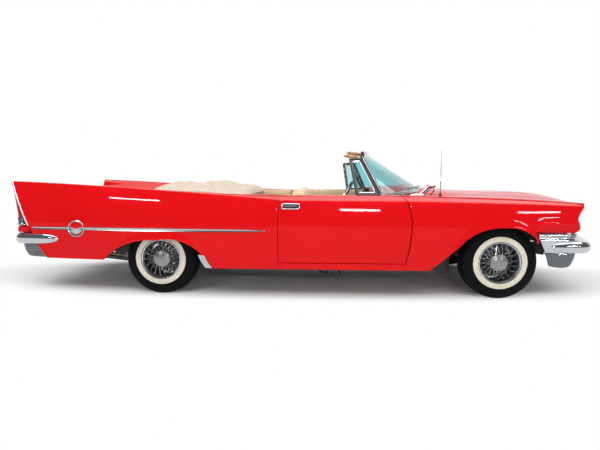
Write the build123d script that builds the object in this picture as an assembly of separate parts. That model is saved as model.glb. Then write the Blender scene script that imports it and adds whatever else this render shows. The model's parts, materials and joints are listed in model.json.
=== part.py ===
from build123d import *
from collections import namedtuple
from math import cos, radians, sin
import os

# A late-1950s full-size two-door convertible with tail fins, its top folded under a boot.
# Millimetres; +X is forward, +Y the car's left, +Z up, and the tyres stand on Z = 0.

# Overall sizes; what follows is drawn for a car 5568 long on a 1554 track and is set out by these
LENGTH = 5568.0
TRACK_FRONT = 1554.0
STRETCH = LENGTH / 5568.0
WIDEN = TRACK_FRONT / 1554.0
TRACK_REAR = TRACK_FRONT - 38.0
FRONT_AXLE = 1841.0
REAR_AXLE = -1359.0
FRONT_WHEEL_Y = TRACK_FRONT / 2 / WIDEN
REAR_WHEEL_Y = TRACK_REAR / 2 / WIDEN

# Wheels
TYRE_R = 345.0
TYRE_HALF_W = 106.0
RIM_R = 180.0
HUB_R = 60.0
BORE_R = 30.0
SPINDLE_R = 29.5
DRUM_R = 140.0
SPOKE_R = 3.0
SPOKES_PER_ROW = 20
AXLE_Z = 345.0
RIDE = TYRE_R - AXLE_Z
WHEEL_ROOM = 50.0

# Body side
SILL_Z = 278.0
MID_Z = 600.0
SKIN = 22.0
TRIM = 11.0
HOOD_EDGE_Y = 640.0
DECK_EDGE_Y = 705.0

# Doors
DOOR_IN_Y = 858.0
DOOR_BOTTOM_Z = 345.0
DOOR_REAR_X = -206.0
DOOR_BULGE_X = 1006.0
DOOR_FRONT_GAP = 8.5
GAP = 6.0
HINGE_X = 945.0
HINGE_Y = 968.0
POST_Y = 834.0

# Steering
KINGPIN_Y = FRONT_WHEEL_Y - 87.0 / WIDEN
EXHAUST_Z = 236.0
COLUMN_Y = 380.0

# Hood and trunk lid
HOOD_REAR_GAP = 12.0
HOOD_PIVOT = (1130.0, 930.0)
LID_PIVOT = (-1560.0, 930.0)
LID_GAP = 15.0
LID_FRONT_X = -1722.0

Side = namedtuple("Side", "x y_low y_mid y_crease z_crease y_top z_top y_in z_in z_edge")
FENDER = [
    Side(2640, 905, 932, 905, 840, 855, 872, 0, 0, 862),
    Side(2150, 925, 962, 928, 883, 866, 925, 0, 0, 928),
    Side(1500, 940, 981, 950, 897, 878, 950, 0, 0, 950),
    Side(860, 950, 989, 959, 903, 885, 966, 0, 0, 958),
]
FLANK = [
    Side(1080, 948, 987, 957, 901, 883, 964, 0, 0, 0),
    Side(430, 952, 990, 960, 907, 885, 966, 0, 0, 0),
    Side(-260, 952, 990, 960, 916, 886, 966, 0, 0, 0),
]
QUARTER = [
    Side(-120, 952, 990, 960, 914, 885, 966, 850, 963, 955),
    Side(-1000, 950, 990, 936, 984, 906, 998, 872, 994, 955),
    Side(-1900, 936, 982, 916, 1044, 894, 1054, 862, 1050, 935),
    Side(-2800, 910, 957, 902, 1088, 884, 1098, 850, 1094, 905),
]
Crown = namedtuple("Crown", "x z_mid z_edge")
HOOD = [
    Crown(700, 1018, 960),
    Crown(1500, 1004, 950),
    Crown(2150, 979, 928),
    Crown(2480, 958, 898),
    Crown(2680, 905, 852),
]


def along(x):
    return x * STRETCH


def aside(y):
    return y * WIDEN


def at(x, y, z):
    """Where a drawn point lies on the car, at its length, its track and the height of its tyres."""
    return (along(x), aside(y), z + RIDE)


def edges_of(steps, place):
    """Edges of a closed outline; a step is a corner, or an arc's middle and its end."""
    edges = []
    here = steps[0]
    for step in steps[1:] + [steps[0]]:
        if isinstance(step[0], tuple):
            middle, end = step
            edges.append(ThreePointArc(place(*here), place(*middle), place(*end)))
            here = end
        elif step != here:
            edges.append(Line(place(*here), place(*step)))
            here = step
    return edges


def across(steps, y0, y1):
    """A plate whose outline lies in X and Z, standing between two values of Y."""
    face = Face(Wire(edges_of(steps, lambda a, b: at(a, y0, b))))
    return Part([Solid.extrude(face, Vector(0, aside(y1 - y0), 0))])


def upright(steps, z0, z1):
    """A plate whose outline lies in X and Y, standing between two values of Z."""
    face = Face(Wire(edges_of(steps, lambda a, b: at(a, b, z0))))
    return Part([Solid.extrude(face, Vector(0, 0, z1 - z0))])


def block(x0, x1, y0, y1, z0, z1):
    middle = at((x0 + x1) / 2, (y0 + y1) / 2, (z0 + z1) / 2)
    return Pos(*middle) * Box(along(x1 - x0), aside(y1 - y0), z1 - z0)


def round_bar(start, end, radius):
    """A round bar between two points."""
    way = Vector(*end) - Vector(*start)
    plane = Plane(origin=Vector(*start), z_dir=way)
    return plane * Cylinder(radius, way.length, align=(Align.CENTER, Align.CENTER, Align.MIN))


def rod(start, end, radius):
    """A round bar between two drawn points."""
    return round_bar(at(*start), at(*end), radius)


def skinned(rows, section):
    """A solid through one closed section per row, each section in Y and Z at the row's X."""
    wires = []
    for row in rows:
        wires.append(Wire(edges_of(section(row), lambda a, b, x=row.x: at(x, a, b))))
    return Part([Solid.make_loft(wires)])


def turned(steps, axis):
    """A round solid of its own size: an outline in X and Y turned about the X or the Y axis."""
    face = Face(Wire(edges_of(steps, lambda a, b: (a, b, 0.0))))
    return Part([Solid.revolve(face, 360, axis)])


def bowed(p, q, rise):
    """The middle of an arc from p to q that stands off the chord to its left by the rise."""
    dx = q[0] - p[0]
    dy = q[1] - p[1]
    size = (dx * dx + dy * dy) ** 0.5
    return ((p[0] + q[0]) / 2 - dy / size * rise, (p[1] + q[1]) / 2 + dx / size * rise)


def other_side(shape):
    return shape.mirror(Plane.XZ)


def save(name, *shapes):
    solids = []
    for shape in shapes:
        solids.extend(shape.solids())
    export_step(Compound(children=solids), "parts/" + name + ".step")


def flank_curve(row, out):
    """The outer side from the sill up over the widest line and the crease to the top edge."""
    low = (row.y_low + out, SILL_Z)
    crease = (row.y_crease + out, row.z_crease)
    top = (row.y_top, row.z_top + out * 0.5)
    return [low, ((row.y_mid + out, MID_Z), crease), (bowed(crease, top, -5), top)]


def fender_outer(row):
    top = (row.y_top, row.z_top)
    edge = (HOOD_EDGE_Y, row.z_edge)
    return flank_curve(row, 0) + [(bowed(top, edge, -8), edge), (HOOD_EDGE_Y, SILL_Z)]


def fender_inner(row):
    low = (row.y_low - SKIN, SILL_Z - 60)
    crease = (row.y_crease - SKIN, row.z_crease - SKIN * 0.7)
    top = (row.y_top - SKIN * 0.4, row.z_top - SKIN)
    edge = (HOOD_EDGE_Y + 12, row.z_edge - SKIN)
    return [
        low,
        ((row.y_mid - SKIN, MID_Z), crease),
        (bowed(crease, top, -5), top),
        (bowed(top, edge, -8), edge),
        (HOOD_EDGE_Y + 12, SILL_Z - 60),
    ]


def door_band(row):
    return flank_curve(row, 0) + [(DOOR_IN_Y, row.z_top), (DOOR_IN_Y, SILL_Z)]


def quarter_outer(row):
    fin = (row.y_in, row.z_in)
    deck = (DECK_EDGE_Y, row.z_edge)
    sag = 4 + (row.z_in - row.z_edge) * 0.16
    return flank_curve(row, 0) + [fin, (bowed(fin, deck, sag), deck), (DECK_EDGE_Y, SILL_Z)]


def quarter_inner(row):
    low = (row.y_low - SKIN, SILL_Z - 60)
    shoulder = (row.y_crease - SKIN - 5, row.z_crease - 120)
    return [
        low,
        ((row.y_mid - SKIN, MID_Z), shoulder),
        (DECK_EDGE_Y + 12, row.z_edge - 60),
        (DECK_EDGE_Y + 12, SILL_Z - 60),
    ]


def quarter_grown(row):
    return flank_curve(row, TRIM) + [(DECK_EDGE_Y, row.z_top), (DECK_EDGE_Y, SILL_Z)]


os.makedirs("parts", exist_ok=True)

# Outlines seen from the side
DOOR_FRONT = [
    (926.0, 990.0),
    (926.0, 968.0),
    ((985.5, 850.4), (DOOR_BULGE_X, 720.0)),
    ((993.7, 529.4), (957.0, DOOR_BOTTOM_Z)),
]
door_outline = DOOR_FRONT + [(DOOR_REAR_X, DOOR_BOTTOM_Z), (DOOR_REAR_X, 990.0)]
front_arch = [
    (1150.0, 200.0),
    (1189.0, SILL_Z),
    (1443.0, 512.0),
    ((1614.0, 641.0), (1830.0, 680.0)),
    ((2010.0, 655.0), (2159.0, 545.0)),
    (2175.0, 545.0),
    (2175.0, 200.0),
]
nose = [
    (2570.0, 1000.0),
    (2570.0, 893.0),
    (2508.0, 760.0),
    (2541.0, 667.0),
    (2490.0, 632.0),
    (2121.0, 634.0),
    (2163.0, 545.0),
    (2163.0, 200.0),
    (2800.0, 200.0),
    (2800.0, 1000.0),
]
rear_arch = [
    (-1890.0, 200.0),
    (-1890.0, 346.0),
    (-1882.0, 350.0),
    ((-1640.0, 507.0), (-1350.0, 545.0)),
    ((-1040.0, 505.0), (-844.0, SILL_Z)),
    (-820.0, 200.0),
]
tail = [
    (-1880.0, 200.0),
    (-1880.0, 347.0),
    (-2443.0, 362.0),
    (-2530.0, 508.0),
    (-2560.0, 610.0),
    (-2715.0, 610.0),
    (-2715.0, 662.0),
    (-2620.0, 672.0),
    (-2768.0, 1098.0),
    (-2768.0, 1200.0),
    (-3000.0, 1200.0),
    (-3000.0, 200.0),
]

# Front fender: a shell with a headlamp panel, open below and round the wheel
fender_solid = skinned(FENDER, fender_outer)
fender_hollow = skinned(FENDER, fender_inner)
flange_cut = [
    (2700.0, 100.0),
    (2700.0, 760.0),
    (2150.0, 838.0),
    (1500.0, 860.0),
    (800.0, 868.0),
    (800.0, 100.0),
]
door_side = [
    (926.0 + DOOR_FRONT_GAP, 1000.0),
    (926.0 + DOOR_FRONT_GAP, 968.0),
    ((985.5 + DOOR_FRONT_GAP, 850.4), (DOOR_BULGE_X + DOOR_FRONT_GAP, 720.0)),
    ((993.7 + DOOR_FRONT_GAP, 529.4), (957.0 + DOOR_FRONT_GAP, DOOR_BOTTOM_Z - GAP)),
    (957.0 + DOOR_FRONT_GAP, 200.0),
    (800.0, 200.0),
    (800.0, 1000.0),
]
lamp_panel = block(2440, 2460, 600, 1100, 100, 1100)
fender = fender_solid - (fender_hollow - lamp_panel)
fender = fender - (across(flange_cut, 600, 700) - lamp_panel)
fender = fender - across(front_arch, 600, 1100)
fender = fender - across(nose, 600, 1100)
fender = fender - across(door_side, 600, 1100)
save("front_fender_left", fender)
save("front_fender_right", other_side(fender))

# Door and rocker from one band
flank = skinned(FLANK, door_band)
door = flank & across(door_outline, 800, 1100)
jamb = upright(
    [
        (DOOR_REAR_X - 10, 1020.0),
        (DOOR_REAR_X, 1020.0),
        (DOOR_REAR_X + 9, 830.0),
        (DOOR_REAR_X - 10, 830.0),
    ],
    200,
    1000,
)
door = door - jamb
HINGE_Z = [500.0, 740.0]
hinges = []
for z in HINGE_Z:
    door = door - block(HINGE_X - 14, 1040, 700, HINGE_Y + 8.5, z - 17, z + 17)
    door = door - rod((HINGE_X, HINGE_Y, z - 45), (HINGE_X, HINGE_Y, z + 45), 4.2)
    hinge = block(HINGE_X - 7, HINGE_X + 7, POST_Y, HINGE_Y, z - 14, z + 14)
    hinge = hinge + rod((HINGE_X, HINGE_Y, z - 14), (HINGE_X, HINGE_Y, z + 14), 7)
    hinge = hinge + rod((HINGE_X, HINGE_Y, z - 42), (HINGE_X, HINGE_Y, z + 42), 4)
    hinges.append(hinge)
rocker = flank & block(DOOR_REAR_X - GAP, 957 + DOOR_FRONT_GAP, 800, 1100, SILL_Z, DOOR_BOTTOM_Z - GAP)
save("door_left", door)
save("door_right", other_side(door))
save("rocker_panels", rocker, other_side(rocker))
save("door_hinges", *hinges, *[other_side(hinge) for hinge in hinges])

# Door handle: a rounded plate on the door's face, with a grip bar on two posts
HANDLE_X = -90.0
HANDLE_Z = 868.0
PLATE_OUT = 5.0
GRIP_Y = 988.0
GRIP_R = 7.0


def door_grown(row):
    return flank_curve(row, PLATE_OUT) + [(DOOR_IN_Y, row.z_top), (DOOR_IN_Y, SILL_Z)]


plate_outline = [
    (HANDLE_X - 60, HANDLE_Z - 27),
    (HANDLE_X + 60, HANDLE_Z - 27),
    ((HANDLE_X + 87, HANDLE_Z), (HANDLE_X + 60, HANDLE_Z + 27)),
    (HANDLE_X - 60, HANDLE_Z + 27),
    ((HANDLE_X - 87, HANDLE_Z), (HANDLE_X - 60, HANDLE_Z - 27)),
]
handle = skinned(FLANK, door_grown) & across(plate_outline, 900, 1100)
grip_ends = (HANDLE_X - 62, HANDLE_X + 62)
for x in grip_ends:
    handle = handle + rod((x, 950, HANDLE_Z + 4), (x, GRIP_Y, HANDLE_Z + 4), GRIP_R)
    handle = handle + Pos(*at(x, GRIP_Y, HANDLE_Z + 4)) * Sphere(GRIP_R)
handle = handle + rod((grip_ends[0], GRIP_Y, HANDLE_Z + 4), (grip_ends[1], GRIP_Y, HANDLE_Z + 4), GRIP_R)
handle = handle - flank
save("door_handle_left", handle)
save("door_handle_right", other_side(handle))

# Vent window on the door, leaning in with the windshield post
def vent_point(x, z):
    return at(x, 860.0 - 0.49 * (z - 966.0), z)


def vent_plate(corners, thick):
    face = Face(Wire(edges_of(corners, vent_point)))
    return Part([Solid.extrude(face, Vector(0, thick, 0))])


vent_pane = [(533.0, 990.0), (480.0, 1285.0), (552.0, 1285.0), (692.0, 990.0)]
vent_frame = vent_plate([(507.0, 966.5), (448.0, 1312.0), (564.0, 1312.0), (737.0, 966.5)], 12)
vent_frame = vent_frame - Pos(0, -4, 0) * vent_plate(vent_pane, 20)
vent_glass = Pos(0, 4, 0) * vent_plate(vent_pane, 5)
save("vent_window_left", vent_frame)
save("vent_window_right", other_side(vent_frame))
save("vent_glass_left", vent_glass)
save("vent_glass_right", other_side(vent_glass))

# Quarter panel with its fin
quarter_solid = skinned(QUARTER, quarter_outer)
tail_cap = [
    (-2670.0, 200.0),
    (-2670.0, 640.0),
    (-2580.0, 672.0),
    (-2728.0, 1098.0),
    (-3000.0, 1098.0),
    (-3000.0, 200.0),
]
quarter = quarter_solid - (skinned(QUARTER, quarter_inner) - across(tail_cap, 600, 1100))
quarter_flange_cut = [
    (-3000.0, 100.0),
    (-3000.0, 800.0),
    (-1900.0, 845.0),
    (-100.0, 865.0),
    (-100.0, 100.0),
]
quarter = quarter - across(quarter_flange_cut, 690, 760)
quarter = quarter - across(rear_arch, 600, 1100)
quarter = quarter - across(tail, 600, 1100)
quarter = quarter - block(DOOR_REAR_X - GAP, 0, 600, 1100, 200, 1100)
save("quarter_panel_left", quarter)
save("quarter_panel_right", other_side(quarter))

# Side spear with its round boss
spear_outline = [
    (-2553.0, 668.0),
    (-2553.0, 643.0),
    ((-1400.0, 628.0), (-325.0, 642.0)),
    ((-1400.0, 664.0), (-2553.0, 668.0)),
]
spear = skinned(QUARTER, quarter_grown) & (
    across(spear_outline, 800, 1100) + rod((-2111, 800, 654), (-2111, 1100, 654), 80)
)
spear = spear - quarter_solid
save("side_spears", spear, other_side(spear))

# Hood and cowl from one crowned sheet, parted by a bowed gap
hood_half = HOOD_EDGE_Y - GAP


def crown_section(row):
    return [
        (-hood_half, row.z_edge),
        ((0.0, row.z_mid), (hood_half, row.z_edge)),
        (hood_half, row.z_edge - 20),
        ((0.0, row.z_mid - 20), (-hood_half, row.z_edge - 20)),
    ]


sheet = skinned(HOOD, crown_section)
hood_back = [(600.0, -900.0), (1080.0, -900.0), ((1400.0, 0.0), (1080.0, 900.0)), (600.0, 900.0)]
cowl_front = [
    (3000.0, -900.0),
    (1080.0 - HOOD_REAR_GAP, -900.0),
    ((1400.0 - HOOD_REAR_GAP, 0.0), (1080.0 - HOOD_REAR_GAP, 900.0)),
    (3000.0, 900.0),
]
hood_front = [(3000.0, -900.0), (2500.0, -900.0), ((2625.0, 0.0), (2500.0, 900.0)), (3000.0, 900.0)]
hood = sheet - upright(hood_back, 700, 1200) - upright(hood_front, 700, 1200)


def above_hood(row):
    """Everything over the hood's underside, for trimming what stands under it."""
    drop = 18
    return [
        (-900.0, row.z_edge - drop - 30),
        (-hood_half, row.z_edge - drop),
        ((0.0, row.z_mid - drop), (hood_half, row.z_edge - drop)),
        (900.0, row.z_edge - drop - 30),
        (900.0, 1300.0),
        (-900.0, 1300.0),
    ]


over = skinned(HOOD, above_hood)
ARM_Y = 575.0
px, pz = HOOD_PIVOT
hood_arm_steps = [(px - 13, pz - 4), (px + 47, pz - 118), (px + 72, pz - 104), (px + 13, pz + 4)]
hood_arm = across(hood_arm_steps, ARM_Y - 8, ARM_Y + 8)
hood_arm = hood_arm + block(px + 50, px + 190, ARM_Y - 8, ARM_Y + 8, pz - 122, pz - 94)
hood_arm = hood_arm + block(px + 150, px + 190, ARM_Y - 8, ARM_Y + 8, pz - 122, pz + 100)
hood_arm = hood_arm + rod((px, ARM_Y - 8, pz), (px, ARM_Y + 8, pz), 13)
hood_arm = hood_arm - rod((px, ARM_Y - 20, pz), (px, ARM_Y + 20, pz), 8.3)
hood_arm = hood_arm - over
hood = hood + hood_arm + other_side(hood_arm)
save("hood", hood)

cowl = sheet - upright(cowl_front, 700, 1200)
hood_pin = rod((px, ARM_Y - 20, pz), (px, ARM_Y + 45, pz), 8)
hood_bracket = block(1016, px + 12, 598, 618, 880, 940)
cowl_half = block(740, 925, 634, POST_Y, 938, 958) + block(860, 1000, 720, POST_Y, 322, 938)
cowl_half = cowl_half + (hood_bracket - over) + hood_pin
firewall = block(1000, 1016, -POST_Y, POST_Y, 306, 850) + block(1000, 1016, -620, 620, 306, 928)
firewall = firewall - rod((1100, 0, 333), (900, 0, 333), 98)
cowl = cowl + cowl_half + other_side(cowl_half) + firewall
save("cowl", cowl)

# Trunk lid, rear deck panel and valance
LID_HALF = DECK_EDGE_Y - GAP


def deck_profile(drop):
    top = [
        (LID_FRONT_X, 985.0 - drop),
        ((-2150.0, 968.0 - drop), (-2560.0, 918.0 - drop)),
        ((-2640.0, 885.0 - drop), (-2676.0, 800.0 - drop * 0.5)),
        (-2692.0, 650.0),
        (-2670.0, 650.0),
        (-2654.0, 795.0 - drop * 0.5),
        ((-2620.0, 868.0 - drop), (-2552.0, 896.0 - drop)),
        ((-2150.0, 946.0 - drop), (LID_FRONT_X, 963.0 - drop)),
    ]
    return top


def ribbed(profiles):
    """A solid through one side outline per value of Y."""
    wires = []
    for y, steps in profiles:
        wires.append(Wire(edges_of(steps, lambda a, b, y=y: at(a, y, b))))
    return Part([Solid.make_loft(wires)])


lid = ribbed([(-LID_HALF, deck_profile(34)), (0.0, deck_profile(0)), (LID_HALF, deck_profile(34))])
lx, lz = LID_PIVOT
LID_ARM_Y = 560.0
lid_arm_steps = [(lx + 13, lz - 2), (lx - 30, lz - 148), (lx - 58, lz - 140), (lx - 13, lz + 2)]
lid_arm = across(lid_arm_steps, LID_ARM_Y - 8, LID_ARM_Y + 8)
lid_arm = lid_arm + block(lx - 235, lx - 32, LID_ARM_Y - 8, LID_ARM_Y + 8, lz - 152, lz - 124)
lid_arm = lid_arm + block(lx - 235, lx - 195, LID_ARM_Y - 8, LID_ARM_Y + 8, lz - 152, lz + 20)
lid_arm = lid_arm + rod((lx, LID_ARM_Y - 8, lz), (lx, LID_ARM_Y + 8, lz), 13)
lid_arm = lid_arm - rod((lx, LID_ARM_Y - 20, lz), (lx, LID_ARM_Y + 20, lz), 8.3)
lid_arm = lid_arm - lid
lid_arm = Part([max(lid_arm.solids(), key=lambda solid: solid.volume)])
lid = lid + lid_arm + other_side(lid_arm)
save("trunk_lid", lid)

DECK_FRONT_X = -1480.0
deck_back = LID_FRONT_X + LID_GAP


def deck_plate(drop):
    return [
        (DECK_FRONT_X, 990.0 - drop),
        (deck_back, 985.5 - drop),
        (deck_back, 965.5 - drop),
        (DECK_FRONT_X, 970.0 - drop),
    ]


deck = ribbed([(-LID_HALF - GAP, deck_plate(36)), (0.0, deck_plate(0)), (LID_HALF + GAP, deck_plate(36))])
lid_pin = rod((lx, LID_ARM_Y - 20, lz), (lx, LID_ARM_Y + 50, lz), 8)
lid_bracket = block(lx - 14, lx + 30, 585, 605, 900, 975)
deck = deck + lid_pin + lid_bracket + other_side(lid_pin + lid_bracket)
save("rear_deck", deck)
valance = block(-2712, -2696, -DECK_EDGE_Y, DECK_EDGE_Y, 400, 638)
save("rear_valance", valance)

# Windshield: a wrapped pane between two bowed lines, in a tube frame
GLASS_LOW = [(763.0, 830.0, 962.0), (1240.0, 0.0, 1018.0)]
GLASS_TOP = [(588.0, 640.0, 1318.0), (690.0, 0.0, 1366.0)]
HEADER_Z = 1400.0
RAIL_OUT = 6.0
RAIL_IN = 20.0


def bow(corner, middle, shift_x, shift_y, shift_z):
    slope = (middle[2] - corner[2]) / (middle[0] - corner[0])
    rise = shift_x * slope + shift_z
    corner_point = at(corner[0] + shift_x, corner[1] + shift_y, corner[2] + rise)
    far_point = at(corner[0] + shift_x, -corner[1] - shift_y, corner[2] + rise)
    middle_point = at(middle[0] + shift_x, 0.0, middle[2] + rise)
    return corner_point, middle_point, far_point


def glass_wire(corner, middle):
    a, b, c = bow(corner, middle, 0, 0, 0)
    d, e, f = bow(corner, middle, -7, -2, 0)
    return Wire([ThreePointArc(a, b, c), Line(c, f), ThreePointArc(f, e, d), Line(d, a)])


def rail_band(line, z0, z1):
    """A bowed bar over a pane's edge line, standing between two heights off that line."""
    a, b, c = bow(*line, RAIL_OUT, RAIL_OUT, z0)
    d, e, f = bow(*line, -RAIL_IN, -RAIL_IN, z0)
    wire = Wire([ThreePointArc(a, b, c), Line(c, f), ThreePointArc(f, e, d), Line(d, a)])
    return Part([Solid.extrude(Face(wire), Vector(0, 0, z1 - z0))])


def post_wire(line, z):
    """A windshield post's section beside the end of an edge line."""
    x, y, height = line[0]
    steps = [(x - 24, y + 8), (x + 8, y + 8), (x + 8, y - 18), (x - 24, y - 18)]
    return Wire(edges_of(steps, lambda a, b: at(a, b, height + z)))


header = rail_band(GLASS_TOP, -8, HEADER_Z - GLASS_TOP[1][2])
mould = rail_band(GLASS_LOW, -14, 10)
post = Part([Solid.make_loft([post_wire(GLASS_LOW, -4), post_wire(GLASS_TOP, 10)], ruled=True)])
surround = header + mould + post + other_side(post)
surround = surround - cowl
surround = Part([max(surround.solids(), key=lambda solid: solid.volume)])
glass = Part([Solid.make_loft([glass_wire(*GLASS_LOW), glass_wire(*GLASS_TOP)], ruled=True)])
glass = glass - surround - cowl
glass = Part([max(glass.solids(), key=lambda solid: solid.volume)])
save("windshield_frame", surround)
save("windshield_glass", glass)

# Folded-top boot over the well, on the ledges of the quarter panels
Boot = namedtuple("Boot", "x z_mid z_edge")
BOOT = [
    Boot(-512, 975, 968),
    Boot(-640, 1062, 985),
    Boot(-1000, 1092, 1008),
    Boot(-1480, 1082, 1024),
    Boot(-1590, 1002, 985),
]


def boot_section(row):
    return [
        (-856.0, row.z_edge),
        ((0.0, row.z_mid), (856.0, row.z_edge)),
        (856.0, 946.0),
        (-856.0, 946.0),
    ]


boot = skinned(BOOT, boot_section) - quarter_solid - other_side(quarter_solid) - deck
boot = Part([max(boot.solids(), key=lambda solid: solid.volume)])
save("top_boot", boot)

# Front bumper: a wrapped apron with a ledge, a torpedo blade and two brackets
BLADE_D = 42.0
BLADE_H = 52.0
APRON_T = 30.0
APRON_BACK = 46.0
APRON_INWARD = 14.0
LEDGE = 7.0
front_plan = [(2240.0, 938.0), (2560.0, 928.0), (2695.0, 560.0), (2790.9 - BLADE_D / STRETCH, 0.0)]
rear_plan = [(-2312.0, 945.0), (-2640.0, 930.0), (-2735.0, 640.0), (BLADE_D / STRETCH - 2784.0, 0.0)]


def bumper_way(plan, back, inward, z):
    """The blade's centre line seen from above, from one tip round the end of the car to the other."""
    sign = 1 if plan[-1][0] > 0 else -1
    near = [at(x - sign * back, y - inward, z) for x, y in plan[:-1]]
    middle = at(plan[-1][0] - sign * back, 0.0, z)
    far = [(x, -y, z) for x, y, z in reversed(near)]
    return FilletPolyline(*near, middle, *far, radius=(170, 700, 1500, 700, 170))


def blade(plan, z):
    way = bumper_way(plan, 0, 0, z)
    start = Plane(origin=way @ 0, x_dir=(0, 0, 1), z_dir=way % 0)
    bar = sweep(start * Ellipse(BLADE_H, BLADE_D), path=way)
    tip = way @ 0
    end = Pos(tip.X, tip.Y, tip.Z) * Sphere(BLADE_D)
    return bar + end + other_side(end)


def apron(plan, thick, z0, z1):
    """The panel behind the blade, set back at the car's end and nearly flush with the body's sides."""
    way = bumper_way(plan, APRON_BACK, APRON_INWARD, z0)
    return extrude(trace(way, thick), z1 - z0, dir=(0, 0, 1))


front_bumper = apron(front_plan, APRON_T, 309, 630) + apron(front_plan, APRON_T + 2 * LEDGE, 602, 630)
wheel_side = [(2000.0, 700.0), (2096.0, 700.0), (2259.0, 334.0), (2259.0, 200.0), (2000.0, 200.0)]
under_side = [
    (2259.0, 330.0),
    (2377.0, 309.0),
    (2527.0, 347.0),
    (2620.0, 420.0),
    (3000.0, 420.0),
    (3000.0, 200.0),
    (2200.0, 200.0),
]
front_bumper = front_bumper - across(wheel_side, -1100, 1100) - across(under_side, -1100, 1100)
front_bumper = front_bumper - block(2300, 3000, -700, 700, 560, 700)
front_bumper = front_bumper + blade(front_plan, 505)
front_bracket = block(2480, 2660, 405, 465, 430, 470)
front_bumper = front_bumper + front_bracket + other_side(front_bracket)
save("front_bumper", front_bumper)

rear_bumper = apron(rear_plan, APRON_T, 362, 560)
rear_under = [(-2700.0, 200.0), (-2752.0, 420.0), (-2600.0, 380.0), (-2443.0, 362.0), (-2443.0, 200.0)]
rear_fore = [(-2000.0, 700.0), (-2560.0, 610.0), (-2530.0, 508.0), (-2443.0, 362.0), (-2000.0, 362.0)]
rear_bumper = rear_bumper - across(rear_under, -1100, 1100) - across(rear_fore, -1100, 1100)
rear_bumper = rear_bumper + blade(rear_plan, 552)
rear_bracket = block(-2715, -2600, 405, 465, 380, 420)
rear_bumper = rear_bumper + rear_bracket + other_side(rear_bracket)
quarter_block = quarter_solid - across(tail, 600, 1100)
rear_bumper = rear_bumper - quarter_block - other_side(quarter_block) - valance
rear_bumper = Part([max(rear_bumper.solids(), key=lambda solid: solid.volume)])
save("rear_bumper", rear_bumper)

# Grille: a crate of bars in a surround between the fenders
GRILLE_X = 2440.0


def facing(steps, x0, x1):
    """A plate whose outline lies in Y and Z, standing between two values of X."""
    face = Face(Wire(edges_of(steps, lambda a, b: at(x0, a, b))))
    return Part([Solid.extrude(face, Vector(along(x1 - x0), 0, 0))])


mouth = [(-520.0, 662.0), (520.0, 662.0), (600.0, 838.0), (-600.0, 838.0)]
panel_y = HOOD_EDGE_Y - 0.3
panel = [(-panel_y, 640.0), (panel_y, 640.0), (panel_y, 872.0), (-panel_y, 872.0)]
grille = facing(panel, GRILLE_X, GRILLE_X + 20)
grille = grille - over
grille = grille - facing(mouth, GRILLE_X - 10, GRILLE_X + 40)
bars = []
for row in range(5):
    bars.append(block(GRILLE_X + 2, GRILLE_X + 30, -610, 610, 688 + 30 * row - 4, 688 + 30 * row + 4))
for column in range(25):
    y = (column - 12) * 48
    bars.append(block(GRILLE_X + 6, GRILLE_X + 24, y - 3, y + 3, 650, 850))
crate = bars[0]
for bar in bars[1:]:
    crate = crate + bar
crate_edge = [(-530.0, 655.0), (530.0, 655.0), (608.0, 845.0), (-608.0, 845.0)]
crate = crate & facing(crate_edge, GRILLE_X - 10, GRILLE_X + 40)
grille = grille + crate
save("grille", grille)

# Headlamps, two a side, on the fenders' lamp panels
LAMP_R = 58.0
LAMP_Z = 762.0
lens_steps = [
    (0.0, 0.0),
    (0.0, LAMP_R),
    (30.0, LAMP_R),
    ((41.0, LAMP_R * 0.55), (45.0, 5.0)),
    (45.0, 0.0),
]
lens = turned(lens_steps, Axis.X)
lamps = []
for inward in (0.0, 2 * LAMP_R + 8.0):
    lamp = Pos(along(GRILLE_X + 20), aside(838.0) - inward, LAMP_Z + RIDE) * lens
    lamps.append(lamp)
    lamps.append(other_side(lamp))
save("headlamps", *lamps)

# Tail lamps standing in the fins' slanted ends
lamp_slab = [(-2628.0, 695.0), (-2764.0, 1086.0), (-2784.0, 1086.0), (-2675.0, 695.0)]
tail_lamp = quarter_solid & across(lamp_slab, 826, 1100)
tail_lamp = tail_lamp - quarter
tail_lamp = Part([max(tail_lamp.solids(), key=lambda solid: solid.volume)])
save("tail_lamps", tail_lamp, other_side(tail_lamp))

# Inner fenders beside the engine, stepping out over the wheels to the fenders' flanges
INNER_Y = 480.0
ROOF_Z = AXLE_Z + TYRE_R + 32.0
wall = [
    (INNER_Y, 500.0),
    (INNER_Y + 10, 500.0),
    (INNER_Y + 10, ROOF_Z),
    (panel_y, ROOF_Z),
    (panel_y, 980.0),
    (panel_y - 10, 980.0),
    (panel_y - 10, ROOF_Z + 10),
    (INNER_Y, ROOF_Z + 10),
]
inner_fender = facing(wall, 1016, GRILLE_X)
drop_cut = [
    (900.0, 1100.0),
    (900.0, 900.0),
    (1500.0, 892.0),
    (2150.0, 868.0),
    (2500.0, 835.0),
    (2500.0, 1100.0),
]
inner_fender = inner_fender - across(drop_cut, 400, 700)
radiator = block(2300, 2340, -INNER_Y, INNER_Y, 500, 800)
inner_fenders = inner_fender + other_side(inner_fender) + radiator
save("inner_fenders", inner_fenders)

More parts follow.
